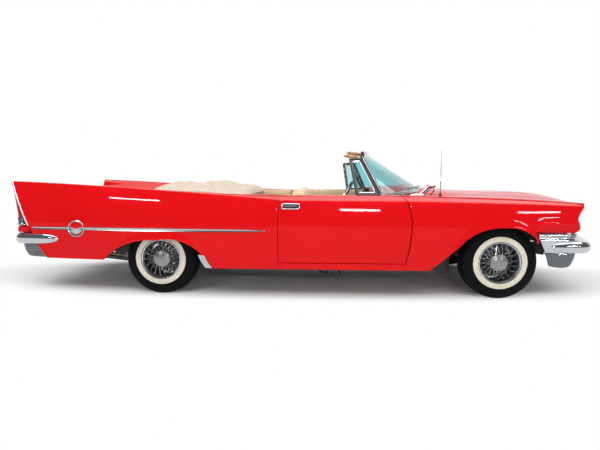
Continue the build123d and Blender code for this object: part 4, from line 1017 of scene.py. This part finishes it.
# Fender mirrors: a teardrop foot, a raked neck and a bullet head with its glass facing back
mirror_foot = spun([(0, 14), (12, 13), (19, 8), (22, 0), (22, -8)], 48, (0, 0, 0), (0, 0, 1))
mirror_foot = mirror_foot * [3.5, 1, 1] + [1108, 726, 963]
neck = bow((1140, 724, 968), (1182, 719, 1004), (1226, 714, 1046), 24)
head = [(0, 50), (8, 47), (15, 38), (20, 20), (21.5, 0), (21, -26), (19.5, -33), (18, -31), (0, -30)]
mirror_head = spun(head, 48, (0, 0, 0), (1, 0, -0.06)) * [1, 1.5, 1] + [1226, 712, 1050]
parts = [patch(mirror_foot, True), rod(neck, ring(9, 19, 20)), patch(mirror_head, True)]
pair("fender_mirror_{}", parts, chrome)

# Splash panels that close the wheel openings before and behind the tyres
for name, rim in (
    ("front_splash_{}", [(1196, 292), (1436, 520), (1436, 190), (1330, 204)]),
    ("nose_splash_{}", [(2214, 640), (2330, 640), (2322, 392), (2226, 404)]),
    ("tail_splash_{}", [(-1905, 470), (-1716, 590), (-1716, 372), (-1890, 362)]),
):
    across, down = np.meshgrid(np.linspace(0, 1, 16), np.linspace(0, 1, 16))
    corner = np.array(rim, float)
    flat = (corner[0] * ((1 - across) * (1 - down))[..., None] + corner[1] * (across * (1 - down))[..., None]
            + corner[2] * (across * down)[..., None] + corner[3] * ((1 - across) * down)[..., None])
    bulge = 690 + 10 * np.sin(np.pi * across) * np.sin(np.pi * down)
    panel = hemmed(xyz(flat[..., 0], bulge, flat[..., 1]), (0, 1, 0), 2.0, 8.0)
    pair(name, [patch(panel)], chassis_black, toward=(0, 1, 0))

# Exhaust hanger below the sill: a bent strap on three struts
parts = [tube(way, size, 10) for way, size in (
    ([(178, -600, 240), (176, -600, 196), (204, -600, 176), (262, -600, 168)], 9),
    ([(262, -600, 240), (250, -600, 172)], 7),
    ([(332, -600, 240), (300, -600, 162), (352, -600, 160)], 7),
    ([(352, -600, 240), (386, -600, 156)], 8),
)]
piece("exhaust_hanger", parts, chassis_black)

# Aerial: a dark cone, a tapering mast and a ball
AERIAL_AT = np.array([1295.0, -800.0, 953.0])
aerial_foot = [(0, 8), (18, 8), (17, 4), (15, 14), (9, 26), (6, 34), (5, 40), (5, 44)]
mast = [(4.2, 40), (3.6, 160), (3.4, 161), (2.6, 300), (2.2, 420), (3.6, 423), (4, 426), (2.8, 429), (0, 430)]
parts = [turned(aerial_foot, 32, AERIAL_AT, (0, 0, 1)), turned(mast, 16, AERIAL_AT - [0, 0, 2], (0, 0, 1), 1)]
piece("aerial", parts, [black_rubber, chrome], stands_for=("antenna",))


def quarter_slope(x, y):
    """Height of the quarter panel's inner slope, a sagging parabola from the fin's foot down to the deck's edge."""
    r = blend_rows(QUARTER, x)
    k = np.clip((r[..., 6] - np.abs(y)) / (r[..., 6] - DECK_EDGE_Y), 0, 1)
    low = (r[..., 7] + r[..., 8]) / 2 - 4 - (r[..., 7] - r[..., 8]) * SLOPE_SAG
    return parabola(r[..., 7], low, r[..., 8], k)


# Boot over the folded top: a padded cloth cover with two bows under it and a sewn border
s, v = np.linspace(0, 1, 170)[:, None], np.linspace(-1, 1, 170)[None]
across = np.sign(v) * (1 - (1 - np.abs(v)) ** 1.35)
BOOT_FORE_X, BOOT_AFT_X, BOOT_HALF, BOOT_FOOT_Z = -512, -1586, 846, 946.0
fore, aft = BOOT_FORE_X - 112 * np.abs(across) ** 3, BOOT_AFT_X + 150 * np.abs(across) ** 5
bx, y = fore + (aft - fore) * s, across * BOOT_HALF + 0 * s
CROWN_X = [-1586, -1555, -1510, -1450, -1380, -1290, -1205, -1120, -1030, -940, -826, -700, -604, -556, -528, -512]
CROWN_Z = [964, 1000, 1046, 1074, 1075, 1061, 1050, 1062, 1083, 1080, 1062, 1047, 1036, 1016, 988, 966]
EDGE_X, EDGE_Z = [-1588, -1500, -1380, -1000, -680, -600, -512], [966, 984, 998, 1004, 988, 972, 962]
flat_x = BOOT_FORE_X + s * (BOOT_AFT_X - BOOT_FORE_X)
edge = np.interp(flat_x, EDGE_X, EDGE_Z)
top = edge + (np.interp(flat_x, CROWN_X, CROWN_Z) - edge) * (1 - np.abs(across) ** 2.4)
# Folds: each a ridge with a hollow beside it, along a slightly bent line, dying out at its ends
for _ in range(26):
    x0, y0 = rng.uniform(-1480, -640), rng.uniform(-780, 780)
    turn, size = rng.uniform(-0.6, 0.6) + (np.pi / 2 if rng.uniform() < 0.5 else 0.5), rng.uniform(160, 420)
    a = (bx - x0) * np.cos(turn) + (y - y0) * np.sin(turn)
    b = -(bx - x0) * np.sin(turn) + (y - y0) * np.cos(turn) + 0.0008 * a * a
    wide = rng.uniform(20, 52)
    high = rng.uniform(5.0, 15.0)
    ridge = np.exp(-((b / wide) ** 2)) - 0.7 * np.exp(-(((b - 1.7 * wide) / wide) ** 2))
    top += high * np.exp(-((a / size) ** 2)) * ridge * (1 - np.abs(across) ** 6)
top = fair(fair(top[..., None], 2).transpose(1, 0, 2), 2).transpose(1, 0, 2)[..., 0]
top = np.maximum(top, quarter_slope(bx, y) + 6)
upper = xyz(bx, y, top)
lower = xyz(bx, y, BOOT_FOOT_Z)
hoop = np.concatenate([upper, lower[:, ::-1]], 1)
boot = piece("boot_cover", [patch(capped(hoop), False, True)], boot_vinyl, stands_for=("top_boot",), sharp=70)
# Bound edge and snap fasteners round the boot, on the slope of the quarter panels and the deck
border = np.concatenate([upper[3:-3, 0], upper[-3, :-1], upper[-3:2:-1, -1], upper[2, -1:0:-1]])
border = way_of(np.concatenate([border, border[:1]]), 261)[:-1]
border[:, 2] = np.where(np.abs(border[:, 1]) > DECK_EDGE_Y, quarter_slope(border[:, 0], border[:, 1]) + 5,
                        np.interp(border[:, 0], [-1540, -1200, -700], [982, 975, 962]))
for _ in range(12):
    border[:, 2] = (np.roll(border[:, 2], 1) + 2 * border[:, 2] + np.roll(border[:, 2], -1)) / 4
welt = carried(np.concatenate([border, border[:1]]), ring(9, 6, 14))[:-1]
parts = [patch(welt, True, True)]
for snap_at in border[6:260:13]:
    parts.append(turned([(0, 6), (5, 5.4), (8, 3), (9, 0), (9, -5)], 20, snap_at + [0, 0, 5], (0, 0, 1), 1))
piece("boot_border", parts, [boot_vinyl, chrome])

# Tail ends: a slanted cap that closes each fin between its bright edge and the trunk opening
CAP_FOOT_Z, DECK_TAIL_Z = 613, 905.0
cap_z = np.linspace(CAP_FOOT_Z, 1092, 40)
fin_foot, sag, deck_edge = np.array([(850.0, 1094.0), (777.5, 965.0), (DECK_EDGE_Y, DECK_TAIL_Z)])
slope = parabola(fin_foot, sag, deck_edge, np.linspace(0, 1, 30)[:, None])
inner_y = np.interp(cap_z, slope[::-1, 1], slope[::-1, 0])[:, None]
cap_x = np.interp(cap_z, [CAP_FOOT_Z, 672, 1098], [-2586, -2589, -2760])
outer_y = flank_y(QUARTER, cap_x, cap_z)[:, None] - 3
k = np.linspace(0, 1, 24)
cap = xyz(cap_x[:, None], inner_y + (outer_y - inner_y) * k, cap_z[:, None])
rise, jamb_x = np.meshgrid(np.linspace(0, 1, 12), np.linspace(-2610, -1720, 40), indexing="ij")
jamb_top = blend_rows(QUARTER, jamb_x)[..., 8]
jamb = xyz(jamb_x, DECK_EDGE_Y + 1, CAP_FOOT_Z + (jamb_top - CAP_FOOT_Z) * rise)
pair("tail_cap_{}", [patch(cap), patch(jamb)], red_enamel)


# Seats: padded cushions and backs, sewn in channels, puffed out between their seams
def pad_grid(outline, half_width, centre_y, round_ends, stations, around):
    """A side outline carried across the car; towards both ends it draws in along a quarter ellipse."""
    loop = way_of(np.concatenate([outline, outline[:1]]), around + 1)[:-1]
    for _ in range(5):
        loop = 0.25 * np.roll(loop, 1, 0) + 0.5 * loop + 0.25 * np.roll(loop, -1, 0)
    middle = loop.mean(0)
    v = np.linspace(-1, 1, stations)
    y = half_width * v
    over = np.clip((np.abs(y) - (half_width - round_ends)) / round_ends, 0, 1)
    shrink = 1 - (1 - np.sqrt(1 - over**2 * 0.998)) * round_ends / 130
    points = middle + (loop[None] - middle) * shrink[:, None, None]
    return xyz(points[..., 0], (y + centre_y)[:, None] + 0 * points[..., 0], points[..., 1])


def puffed(thing, held, steps, cap_mm):
    """Cloth with air pressure inside, held at its seams: it is stepped on, and no point moves past the cap."""
    mesh = thing.data
    start = np.empty(len(mesh.vertices) * 3)
    mesh.vertices.foreach_get("co", start)
    start = start.reshape(-1, 3)
    pins = thing.vertex_groups.new(name="seams")
    pins.add(np.flatnonzero(held(start / METRE_PER_MM)).tolist(), 1.0, "REPLACE")
    cloth = thing.modifiers.new("cloth", "CLOTH")
    settings = cloth.settings
    settings.vertex_group_mass = "seams"
    settings.use_pressure = True
    settings.uniform_pressure_force = 5.0
    settings.quality = 4
    settings.tension_stiffness = settings.compression_stiffness = 18.0
    settings.bending_stiffness = 1.5
    settings.effector_weights.gravity = 0.0
    cloth.collision_settings.use_collision = False
    stage = bpy.context.scene
    for step in range(1, steps + 1):
        stage.frame_set(step)
    shape = thing.evaluated_get(bpy.context.evaluated_depsgraph_get()).data
    end = np.empty(len(mesh.vertices) * 3)
    shape.vertices.foreach_get("co", end)
    move = end.reshape(-1, 3) - start
    size = np.linalg.norm(move, axis=1, keepdims=True)
    move *= np.minimum(1.0, cap_mm * METRE_PER_MM / np.maximum(size, 1e-9))
    thing.modifiers.remove(cloth)
    thing.vertex_groups.clear()
    stage.frame_set(1)
    mesh.vertices.foreach_set("co", (start + move).ravel())
    mesh.update()


CHANNEL = 68.0
FRONT_CUSHION = [(95, 470), (535, 462), (556, 520), (554, 590), (528, 626), (440, 628), (250, 612), (105, 596)]
FRONT_BACK = [(8, 480), (78, 560), (72, 640), (36, 930), (18, 985), (-22, 1010), (-66, 1007), (-104, 982), (-114, 940),
              (-80, 700), (-30, 490)]
REAR_CUSHION = [(-500, 466), (-242, 462), (-224, 540), (-228, 632), (-252, 664), (-300, 664), (-470, 636), (-505, 590)]
REAR_BACK = [(-500, 640), (-545, 880), (-574, 920), (-620, 922), (-632, 880), (-628, 500), (-570, 480)]
for name, outline, half, centre_y, stands_for, upright in (
    ("front_cushion", FRONT_CUSHION, 676, 0, (), False),
    ("front_back_left", FRONT_BACK, 334, 342, ("front_seat",), True),
    ("front_back_right", FRONT_BACK, 334, -342, (), True),
    ("rear_cushion", REAR_CUSHION, 680, 0, (), False),
    ("rear_back", REAR_BACK, 684, 0, ("rear_seat",), True),
):
    grid = pad_grid(np.array(outline, float), half, centre_y, 60, int(half / 8.5) * 2 + 1, 84)
    mid, (aft, _, low), (fore, _, high) = grid.mean((0, 1)), grid.min((0, 1)), grid.max((0, 1))
    pad = piece(name, [patch(capped(grid), False, True)], tan_leather, stands_for=stands_for, sharp=80)

    def held(points):
        """Seam points: every channel line on the sat-on face, the border seams and the underside."""
        x, y, z = points[:, 0], points[:, 1] - centre_y, points[:, 2]
        near_seam = np.abs((y + CHANNEL / 2) % CHANNEL - CHANNEL / 2) < 4.6
        if upright:
            face = (x > mid[0]) & (z < high - 70) & (z > low + 60)
            border = (x < aft + 14) | (z < low + 24)
            across = (np.abs(z - (high - 66)) < 6) & (x > mid[0])
        else:
            face = (z > mid[2]) & (x < fore - 60)
            border = z < low + 24
            across = (np.abs(x - (fore - 56)) < 6) & (z > mid[2])
        return (near_seam & face & (np.abs(y) < half - 70)) | border | (across & (np.abs(y) < half - 66))

    puffed(pad, held, 14, 15.0)
    smooth = pad.modifiers.new("subdivision", "SUBSURF")
    smooth.levels = smooth.render_levels = 1
for name, x0, x1 in (("seat_runner_front_{}", 70, 470), ("seat_runner_rear_{}", -610, -290)):
    pair(name, [rod([(x0, 480, 390), (x1, 480, 390)], ring(46, 62, 20, 6.0))], chassis_black)

# Carpet over the floor and the tunnel, and up the toe board
profile_y = np.array([-822, -180, -158, -151, -150, -146, -130, 130, 146, 150, 151, 158, 180, 822], float)
profile_z = np.array([327, 327, 331, 345, 430, 452, 459, 459, 452, 430, 345, 331, 327, 327], float)
line = way_of(np.column_stack([profile_y, profile_z]), 110)
x = np.concatenate([np.linspace(-632, 930, 60), np.linspace(945, 988, 5), np.full(14, 992.0)])
lift = np.concatenate([np.zeros(60), [1, 3, 8, 16, 30], np.linspace(45, 400, 14)])
carpet_grid = xyz(x[:, None] + 0 * line[:, 0], line[None, :, 0] + 0 * x[:, None],
                        np.maximum(line[None, :, 1], 327 + lift[:, None]))
piece("floor_carpet", [patch(carpet_grid)], carpet, toward=(0, 0, 1))


# Inner door trim: a channelled panel with a carpeted foot, bright strips, an arm rest, a crank and a handle
def upholstered(x, z, depth, low, high):
    """Upright sewn channels of a trim panel, fading in over the heights low and out over the heights high."""
    return depth * np.abs(np.sin(np.pi * x / 62)) ** 0.6 * ease(*low, z) * (1 - ease(*high, z))


def top_roll(z, depth):
    """The padded roll along a trim panel's top edge."""
    return depth * np.sin(np.pi * np.clip((z - 890) / 84, 0, 1)) ** 0.7


trim_z = np.linspace(352, 970, 110)
x01, zz = np.meshgrid(np.linspace(0, 1, 150), trim_z)
xx = DOOR_REAR_X + 8 + x01 * (door_edge_x(zz) - 16 - DOOR_REAR_X)
channels = upholstered(xx, zz, 5.5, (560, 575), (792, 806)) * ease(-185, -150, xx) * (1 - ease(860, 900, xx))
card = hemmed(xyz(xx, 856.5 - (channels + top_roll(zz, 11)), zz), (0, -1, 0), 2.0, 8.0)
foot_rows = 4 + int(np.argmin(np.abs(trim_z - 500)))
parts = [patch(card[:foot_rows + 1], finish=1), patch(card[foot_rows:])]
rest = xyz(np.linspace(140, 600, 40), 832.0, 716.0)
shrink = np.sqrt(np.clip(1 - (2 * np.abs(np.linspace(-0.5, 0.5, 40))) ** 4, 0.02, 1))
parts.append(rod(rest, ring(30, 24, 20, 2.6), scale=shrink))
for z in (806.0, 556.0):
    strip = xyz(np.linspace(-180, 930, 80), 851.0, z)
    parts.append(rod(strip, ring(4.5, 7, 12, 2.4), 2))
pivot, knob = np.array([250.0, 842.0, 620.0]), np.array([180.0, 826.0, 578.0])
parts.append(turned([(0, 14), (14, 12), (20, 4), (21, -12)], 32, pivot, (0, -1, 0), 2))
parts.append(rod([pivot + [0, -8, 0], knob], ring(5, 8, 12), 2))
parts.append(turned([(0, 30), (9, 28), (12, 18), (10, 6), (11, 0), (0, 0)], 24, knob, (0, -1, 0), 2))
grip = np.array([720.0, 842.0, 690.0])
parts.append(turned([(0, 12), (12, 10), (18, 3), (19, -12)], 32, grip, (0, -1, 0), 2))
parts.append(rod([grip + [0, -8, 0], grip + [-95, -12, -4]], ring(5, 9, 12), 2))
pair("door_trim_{}", parts, [tan_leather, carpet, chrome], "door_{}")

# Trim beside the rear seat, and the jamb behind the door in hide and in paint
xx, zz = np.meshgrid(np.linspace(-636, -214, 60), np.linspace(330, 969, 70))
swell = upholstered(xx, zz, 4, (560, 580), (780, 800)) + top_roll(zz, 10)
side_trim = hemmed(xyz(xx, 700 - swell, zz), (0, -1, 0), 2, 4)
yy, zz = np.meshgrid(np.linspace(698, 846, 16), np.linspace(330, 958, 40))
jamb_trim = hemmed(xyz(-210.0, yy, zz), (1, 0, 0), 0.5, 1)
JAMB_IN_Y = 845
yy, zz = np.meshgrid(np.linspace(0, 1, 12), np.linspace(300, 955, 40))
jamb_out = flank_y(QUARTER, np.full_like(zz, -211.0), zz) - 8
jamb_skin = hemmed(xyz(-210.5, JAMB_IN_Y + (jamb_out - JAMB_IN_Y) * yy, zz), (1, 0, 0), 0.5, 1)
parts = [patch(side_trim), patch(jamb_trim), patch(jamb_skin, finish=1)]
pair("rear_side_trim_{}", parts, [tan_leather, red_enamel])

# Dashboard: a padded roll over the painted panel, a bright band, three dials, a switch row and a glove box knob
roll_way = xyz(726.0, np.linspace(-752, 752, 60), 918.0)
band = xyz(699.0, np.linspace(-748, 748, 60), 838.0)
parts = [rod(roll_way, ring(30, 21, 24, 2.3)), rod(band, ring(5, 16, 14, 3.0), 1)]
DIAL_AXIS, KNOB_AXIS = (-1, 0, 0.12), (-1, 0, -0.2)
for y, size in ((470.0, 62.0), (300.0, 62.0), (-60.0, 40.0)):
    at = np.array([694.0, y, 852.0])
    bezel = [(size + 9, -10), (size + 9, 10), (size + 5, 15), (size, 11), (size - 1, 6)]
    parts.append(turned(bezel, 56, at, DIAL_AXIS, 1))
    parts.append(turned([(size, 6), (size * 0.6, 5.6), (0, 5.4)], 56, at, DIAL_AXIS))
    for turn in np.radians(np.arange(-130, 131, 20)):
        tick = size * np.array([0, np.sin(turn), np.cos(turn)])
        ends = at + [-7, 0, 0.8] + tick * np.array([[0.74], [0.92]])
        parts.append(rod(ends, ring(1.3, 1.3, 5), 2, up=(1, 0, 0)))
    needle = at + np.array([(-8, 0, 1), (-8, -size * 0.52, size * 0.5)])
    parts.append(rod(needle, ring(1.6, 1.6, 5), 3, up=(1, 0, 0)))
switch = [(0, 30), (9, 29), (12, 24), (11, 10), (7, 4), (7, -6)]
for y in (150.0, 100.0, 50.0, 0.0, -150.0, -200.0):
    parts.append(turned(switch, 24, (702.0, y, 790.0), KNOB_AXIS, 1))
parts.append(turned([(0, 16), (10, 14), (14, 6), (14, -4)], 24, (700.0, -470.0, 806.0), KNOB_AXIS, 1))
piece("dash_fittings", parts, [black_rubber, chrome, whitewall, red_lens])

# Steering wheel: a ribbed rim, two spokes, a bright horn ring and a boss, square to the column
column = np.array([-500.0, 0.0, 290.0]) / np.hypot(500.0, 290.0)
wheel_at = np.array([500.0, 380.0, 882.0]) + column * 45
turn = np.linspace(0, 2 * np.pi, 180, endpoint=False)
first, second = np.array([0.0, 1.0, 0.0]), np.cross(column, [0.0, 1.0, 0.0])
radial = np.cos(turn)[:, None] * first + np.sin(turn)[:, None] * second
tube_r = 11.2 + 0.8 * np.cos(turn * 40)
a = np.linspace(0, 2 * np.pi, 18, endpoint=False)


def hoop_of(radius, thick):
    """A ring about the column: a circle of that thickness carried round at the radius."""
    return (wheel_at + (radius + thick * np.cos(a))[..., None] * radial[:, None]
            + (thick * np.sin(a))[..., None] * column)


rim, horn = hoop_of(200, tube_r[:, None]), hoop_of(132, np.full((180, 1), 4.2)) + 10 * column
boss = [(0, 26), (18, 24), (32, 17), (40, 6), (42, -8), (36, -26), (14, -34), (13, -80)]
parts = [patch(rim, True, True), patch(horn, True, True, 1), turned(boss, 48, wheel_at, column, 1)]
k = np.linspace(20, 196, 16)[:, None]
for sign in (-1, 1):
    spoke = wheel_at + sign * first * k + column * (6 - 8 * (k / 195) ** 2)
    parts.append(rod(spoke, ring(5, 15, 16, 3.0), 0, second, np.linspace(1.25, 0.8, 16)))
piece("steering_wheel_rim", parts, [black_rubber, chrome], "steering_wheel", ("steering_wheel",))

# Sun visors and inside mirror under the windshield header
for name, y in (("visor_left", 330.0), ("visor_right", -330.0)):
    path = xyz(np.linspace(606, 446, 24), y, np.linspace(1362, 1386, 24))
    swell = np.sqrt(np.clip(1 - np.abs(np.linspace(-1, 1, 24)) ** 6, 0.05, 1))
    pad = piece(name, [rod(path, ring(205, 11, 40, 5.0), scale=swell)], tan_leather)
arm = tube([(660, 0, 1362), (630, 0, 1318)], 5, 10, (0, 1, 0))
path = xyz(np.linspace(628, 612, 10), 0.0, 1312.0)
swell = np.sqrt(np.clip(1 - np.abs(np.linspace(-1, 0.9, 10)) ** 4, 0.1, 1))
piece("inside_mirror", [arm, rod(path, ring(112, 27, 40, 3.4), scale=swell)], chrome)

# Windshield header: a rounded bright bar, a little lower at its ends, and the moulding round the glass's foot
HEADER_HALF = 650
top_way = bow((581, HEADER_HALF, 1318), (683, 0, 1366), (581, -HEADER_HALF, 1318), 81)
run = np.gradient(top_way, axis=0) * [1, 1, 0]
side = xyz(-run[:, 1], run[:, 0], 0 * run[:, 0]) / np.linalg.norm(run, axis=1, keepdims=True)
high = 1402 - 22 * (top_way[:, 1] / HEADER_HALF) ** 2
low = top_way[:, 2] - 12
t = ring(1, count=28, power=2.8)
bar = (top_way * [1, 1, 0])[:, None] + 21 * t[None, :, :1] * side[:, None]
bar[..., 2] = ((high + low) / 2)[:, None] + ((high - low) / 2)[:, None] * t[None, :, 1]
piece("windshield_header", [patch(capped(bar), False, True)], chrome)
foot_way = bow((763, -832, 960), (1240, 0, 1018), (763, 832, 960), 121)[3:-3]
foot_band = carried(foot_way, [(-4, -8), (-3, 10), (4, 15), (16, 14), (30, 9), (44, 2), (46, -10)])
piece("glass_foot_moulding", [patch(foot_band)], stainless, toward=(0.5, 0, 1))

# Seals: a black strip down each windshield post and round the vent window, with a bright bead between
post = np.array([(762, 842, 962), (586, 652, 1322)], float)
along_post = (1, 0, 0)
parts = [tube(post + [-16, 0, 2], 9, 12, along_post), tube(post + [2, 0, 0], 7, 12, along_post),
         tube(post + [-7, 8, 4], 3.6, 10, along_post, 1)]
pair("post_seal_{}", parts, [black_rubber, chrome])
VENT_LEAN = 0.49
parts = []
for edge, radius, count, kind in (
    ([(516, 968), (457, 1304), (560, 1304), (728, 968), (516, 968)], 6.5, 10, 0),
    ([(537, 992), (485, 1281), (550, 1281), (688, 992), (537, 992)], 3.0, 8, 1),
):
    x, z = np.array(edge, float).T
    path = rounded_way(xyz(x, 860 - VENT_LEAN * (z - 966) + 12, z), (10, 10, 10), 160)
    parts.append(tube(path, radius, count, (0, 1, VENT_LEAN), kind))
pair("vent_seal_{}", parts, [black_rubber, chrome], "door_{}")

# Door handles: a bright rounded surround, a dark dish inside it and a grip across
rows = []
for size, lift in ((27.5, -2), (27.5, 4), (26.5, 7.5), (24, 9.5), (20, 9.5), (17, 7), (15.5, 3), (10, 2.5), (0, 2.5)):
    loop = ring(size, size, 96, 2.8)
    px, pz = -90 + loop[:, 0] + 60 * np.sign(np.round(loop[:, 0], 6)), 868 + loop[:, 1]
    rows.append(xyz(px, flank_y(FLANK, px, pz) + lift, pz))
rows = np.stack(rows)
grip_x, grip_z = np.linspace(-150, -30, 40), np.full(40, 872.5)
grip_y = flank_y(FLANK, grip_x, grip_z) + 2 + 8 * (1 - np.abs((grip_x + 90) / 62) ** 6)
parts = [patch(rows[:7], False, True), patch(rows[6:], False, True, 1),
         rod(xyz(grip_x, grip_y, grip_z), ring(3.5, 8.5, 14, 2.4), 2)]
pair("door_handle_{}_dressed", parts, [chrome, black_rubber, dull_plate], "door_{}", "door_handle_{}", (0, 1, 0))

# Wipers at rest along the glass's foot
low_line = bow((763, 830, 962), (1240, 0, 1018), (763, -830, 962), 121)
for name, a, b in (("wiper_left", 70, 100), ("wiper_right", 22, 52)):
    middle = (a + b) // 2
    arm_at = low_line[middle] + [40, 0, -2]
    parts = [tube(low_line[a:b] + [6, 0, 26], 4.5, 8, finish=1),
             tube([arm_at, low_line[middle + 4] + [10, 0, 32]], 4, 8),
             turned([(0, 14), (10, 12), (13, 4), (13, -14)], 20, arm_at, (0, 0, 1))]
    piece(name, parts, [chrome, black_rubber])

# Camera, light and floor
scene = bpy.context.scene
camera = bpy.data.objects.new("camera", bpy.data.cameras.new("camera"))
camera.data.sensor_width = 36.0
camera.data.lens = 25.86
camera.data.clip_end = 200.0
camera.location = (0.213, -4.888, 1.146)
camera.rotation_euler = (np.radians(90 - 6.508), 0.0, np.radians(3.163))
scene.collection.objects.link(camera)
scene.camera = camera
scene.view_settings.view_transform = "Standard"


def joined(tree, operation, a, b):
    """The outcome of one sum on two sockets."""
    return add(tree, "ShaderNodeMath", {"operation": operation}, links={0: a, 1: b}).outputs[0]


def between(tree, start, end, value):
    """A smooth step of a socket, 0 at start and 1 at end."""
    node = add(tree, "ShaderNodeMapRange", {"interpolation_type": "SMOOTHSTEP"}, {"From Min": start, "From Max": end},
               {"Value": value})
    return node.outputs["Result"]


def looked_at(tree, *others):
    """1 for rays from the camera, through glass and of the other kinds named, else 0."""
    rays = add(tree, "ShaderNodeLightPath").outputs
    seen = rays["Is Camera Ray"]
    for kind in ("Is Transmission Ray", *others):
        seen = joined(tree, "MAXIMUM", seen, rays[kind])
    return seen


world = bpy.data.worlds.new("studio")
scene.world = world
world.use_nodes = True
tree = world.node_tree
tree.nodes.clear()
# The studio: a dark room with a pale ceiling and a white wall behind the car, which metal shows too;
# the camera and the glass see plain white all round
place = add(tree, "ShaderNodeTexCoord")
split = add(tree, "ShaderNodeSeparateXYZ", links={"Vector": place.outputs["Generated"]})
walls = add(tree, "ShaderNodeValToRGB", links={"Fac": split.outputs["Z"]})
for stop, (at, grey) in zip(walls.color_ramp.elements, ((0.72, 0.16), (0.95, 0.62))):
    stop.position = at
    stop.color = (grey, grey, grey, 1)
wall = joined(tree, "MULTIPLY", between(tree, 0.05, 0.4, split.outputs["Y"]),
              between(tree, 0.62, 0.4, split.outputs["Z"]))
seen = joined(tree, "MAXIMUM", looked_at(tree), wall)
soft = add(tree, "ShaderNodeBackground", links={"Color": walls.outputs["Color"]})
plain = add(tree, "ShaderNodeBackground", values={"Color": (1, 1, 1, 1), "Strength": 1.0})
mixed = add(tree, "ShaderNodeMixShader", links={0: seen, 1: soft.outputs[0], 2: plain.outputs[0]})
add(tree, "ShaderNodeOutputWorld", links={"Surface": mixed.outputs[0]})
# Lamps: a strip overhead, a fill that metal doesn't show, a softbox seen only in gloss, three strips for the streaks
for name, at, aim, size, power in (
    ("overhead", (0.2, -0.9, 5.0), (0.0, 0.1, 0.5), (8.4, 1.0), 100.0),
    ("side_fill", (0.2, -6.6, 7.2), (0.0, 0.0, 0.7), (12.0, 3.0), 420.0),
    ("softbox", (0.2, -0.1, 6.0), (0.2, -0.099, 0.0), (12.0, 4.0), 1100.0),
    ("strip_rear", (-5.3, -8.5, 4.3), (-1.5, -1.0, 0.9), (1.4, 0.16), 75.0),
    ("strip_middle", (1.25, -8.5, 2.62), (0.5, -1.0, 0.9), (1.1, 0.3), 90.0),
    ("strip_front", (6.9, -8.5, 3.02), (2.2, -1.0, 0.9), (1.3, 0.24), 80.0),
):
    lamp = bpy.data.lights.new(name, "AREA")
    lamp.shape = "RECTANGLE"
    lamp.size, lamp.size_y = size
    lamp.energy = power
    thing = bpy.data.objects.new(name, lamp)
    thing.location = at
    way = np.array(aim) - np.array(at)
    thing.rotation_euler = (np.arccos(-way[2] / np.linalg.norm(way)), 0.0, np.arctan2(way[1], way[0]) - np.pi / 2)
    thing.visible_glossy = name != "side_fill"
    thing.visible_diffuse = name != "softbox"
    scene.collection.objects.link(thing)

# Studio paper: white; away from the car it is seen as the backdrop, near the car it keeps the shadow
floor_finish, tree, shader = surface("studio_paper", "#f4f4f4", roughness=0.9)
shaded(tree, shader, grain(tree, 900), "#f2f2f2", "#f6f6f6")
place = add(tree, "ShaderNodeTexCoord")
squeeze = add(tree, "ShaderNodeMapping", values={"Scale": (0.2, 0.8, 1.0)}, links={"Vector": place.outputs["Object"]})
reach = add(tree, "ShaderNodeVectorMath", {"operation": "LENGTH"}, links={0: squeeze.outputs["Vector"]})
far = between(tree, 0.6, 0.9, reach.outputs["Value"])
seen = joined(tree, "MULTIPLY", looked_at(tree, "Is Glossy Ray"), far)
paper = add(tree, "ShaderNodeEmission", values={"Color": (1, 1, 1, 1), "Strength": 1.0})
mixed = add(tree, "ShaderNodeMixShader", links={0: seen, 1: shader.outputs[0], 2: paper.outputs[0]})
tree.links.new(mixed.outputs[0], tree.nodes["Material Output"].inputs["Surface"])
floor_mesh = bpy.data.meshes.new("floor")
FLOOR = 40
corners = [(-FLOOR, -FLOOR, 0), (FLOOR, -FLOOR, 0), (FLOOR, FLOOR, 0), (-FLOOR, FLOOR, 0)]
floor_mesh.from_pydata(corners, [], [(0, 1, 2, 3)])
floor_mesh.materials.append(floor_finish)
floor = bpy.data.objects.new("floor", floor_mesh)
scene.collection.objects.link(floor)
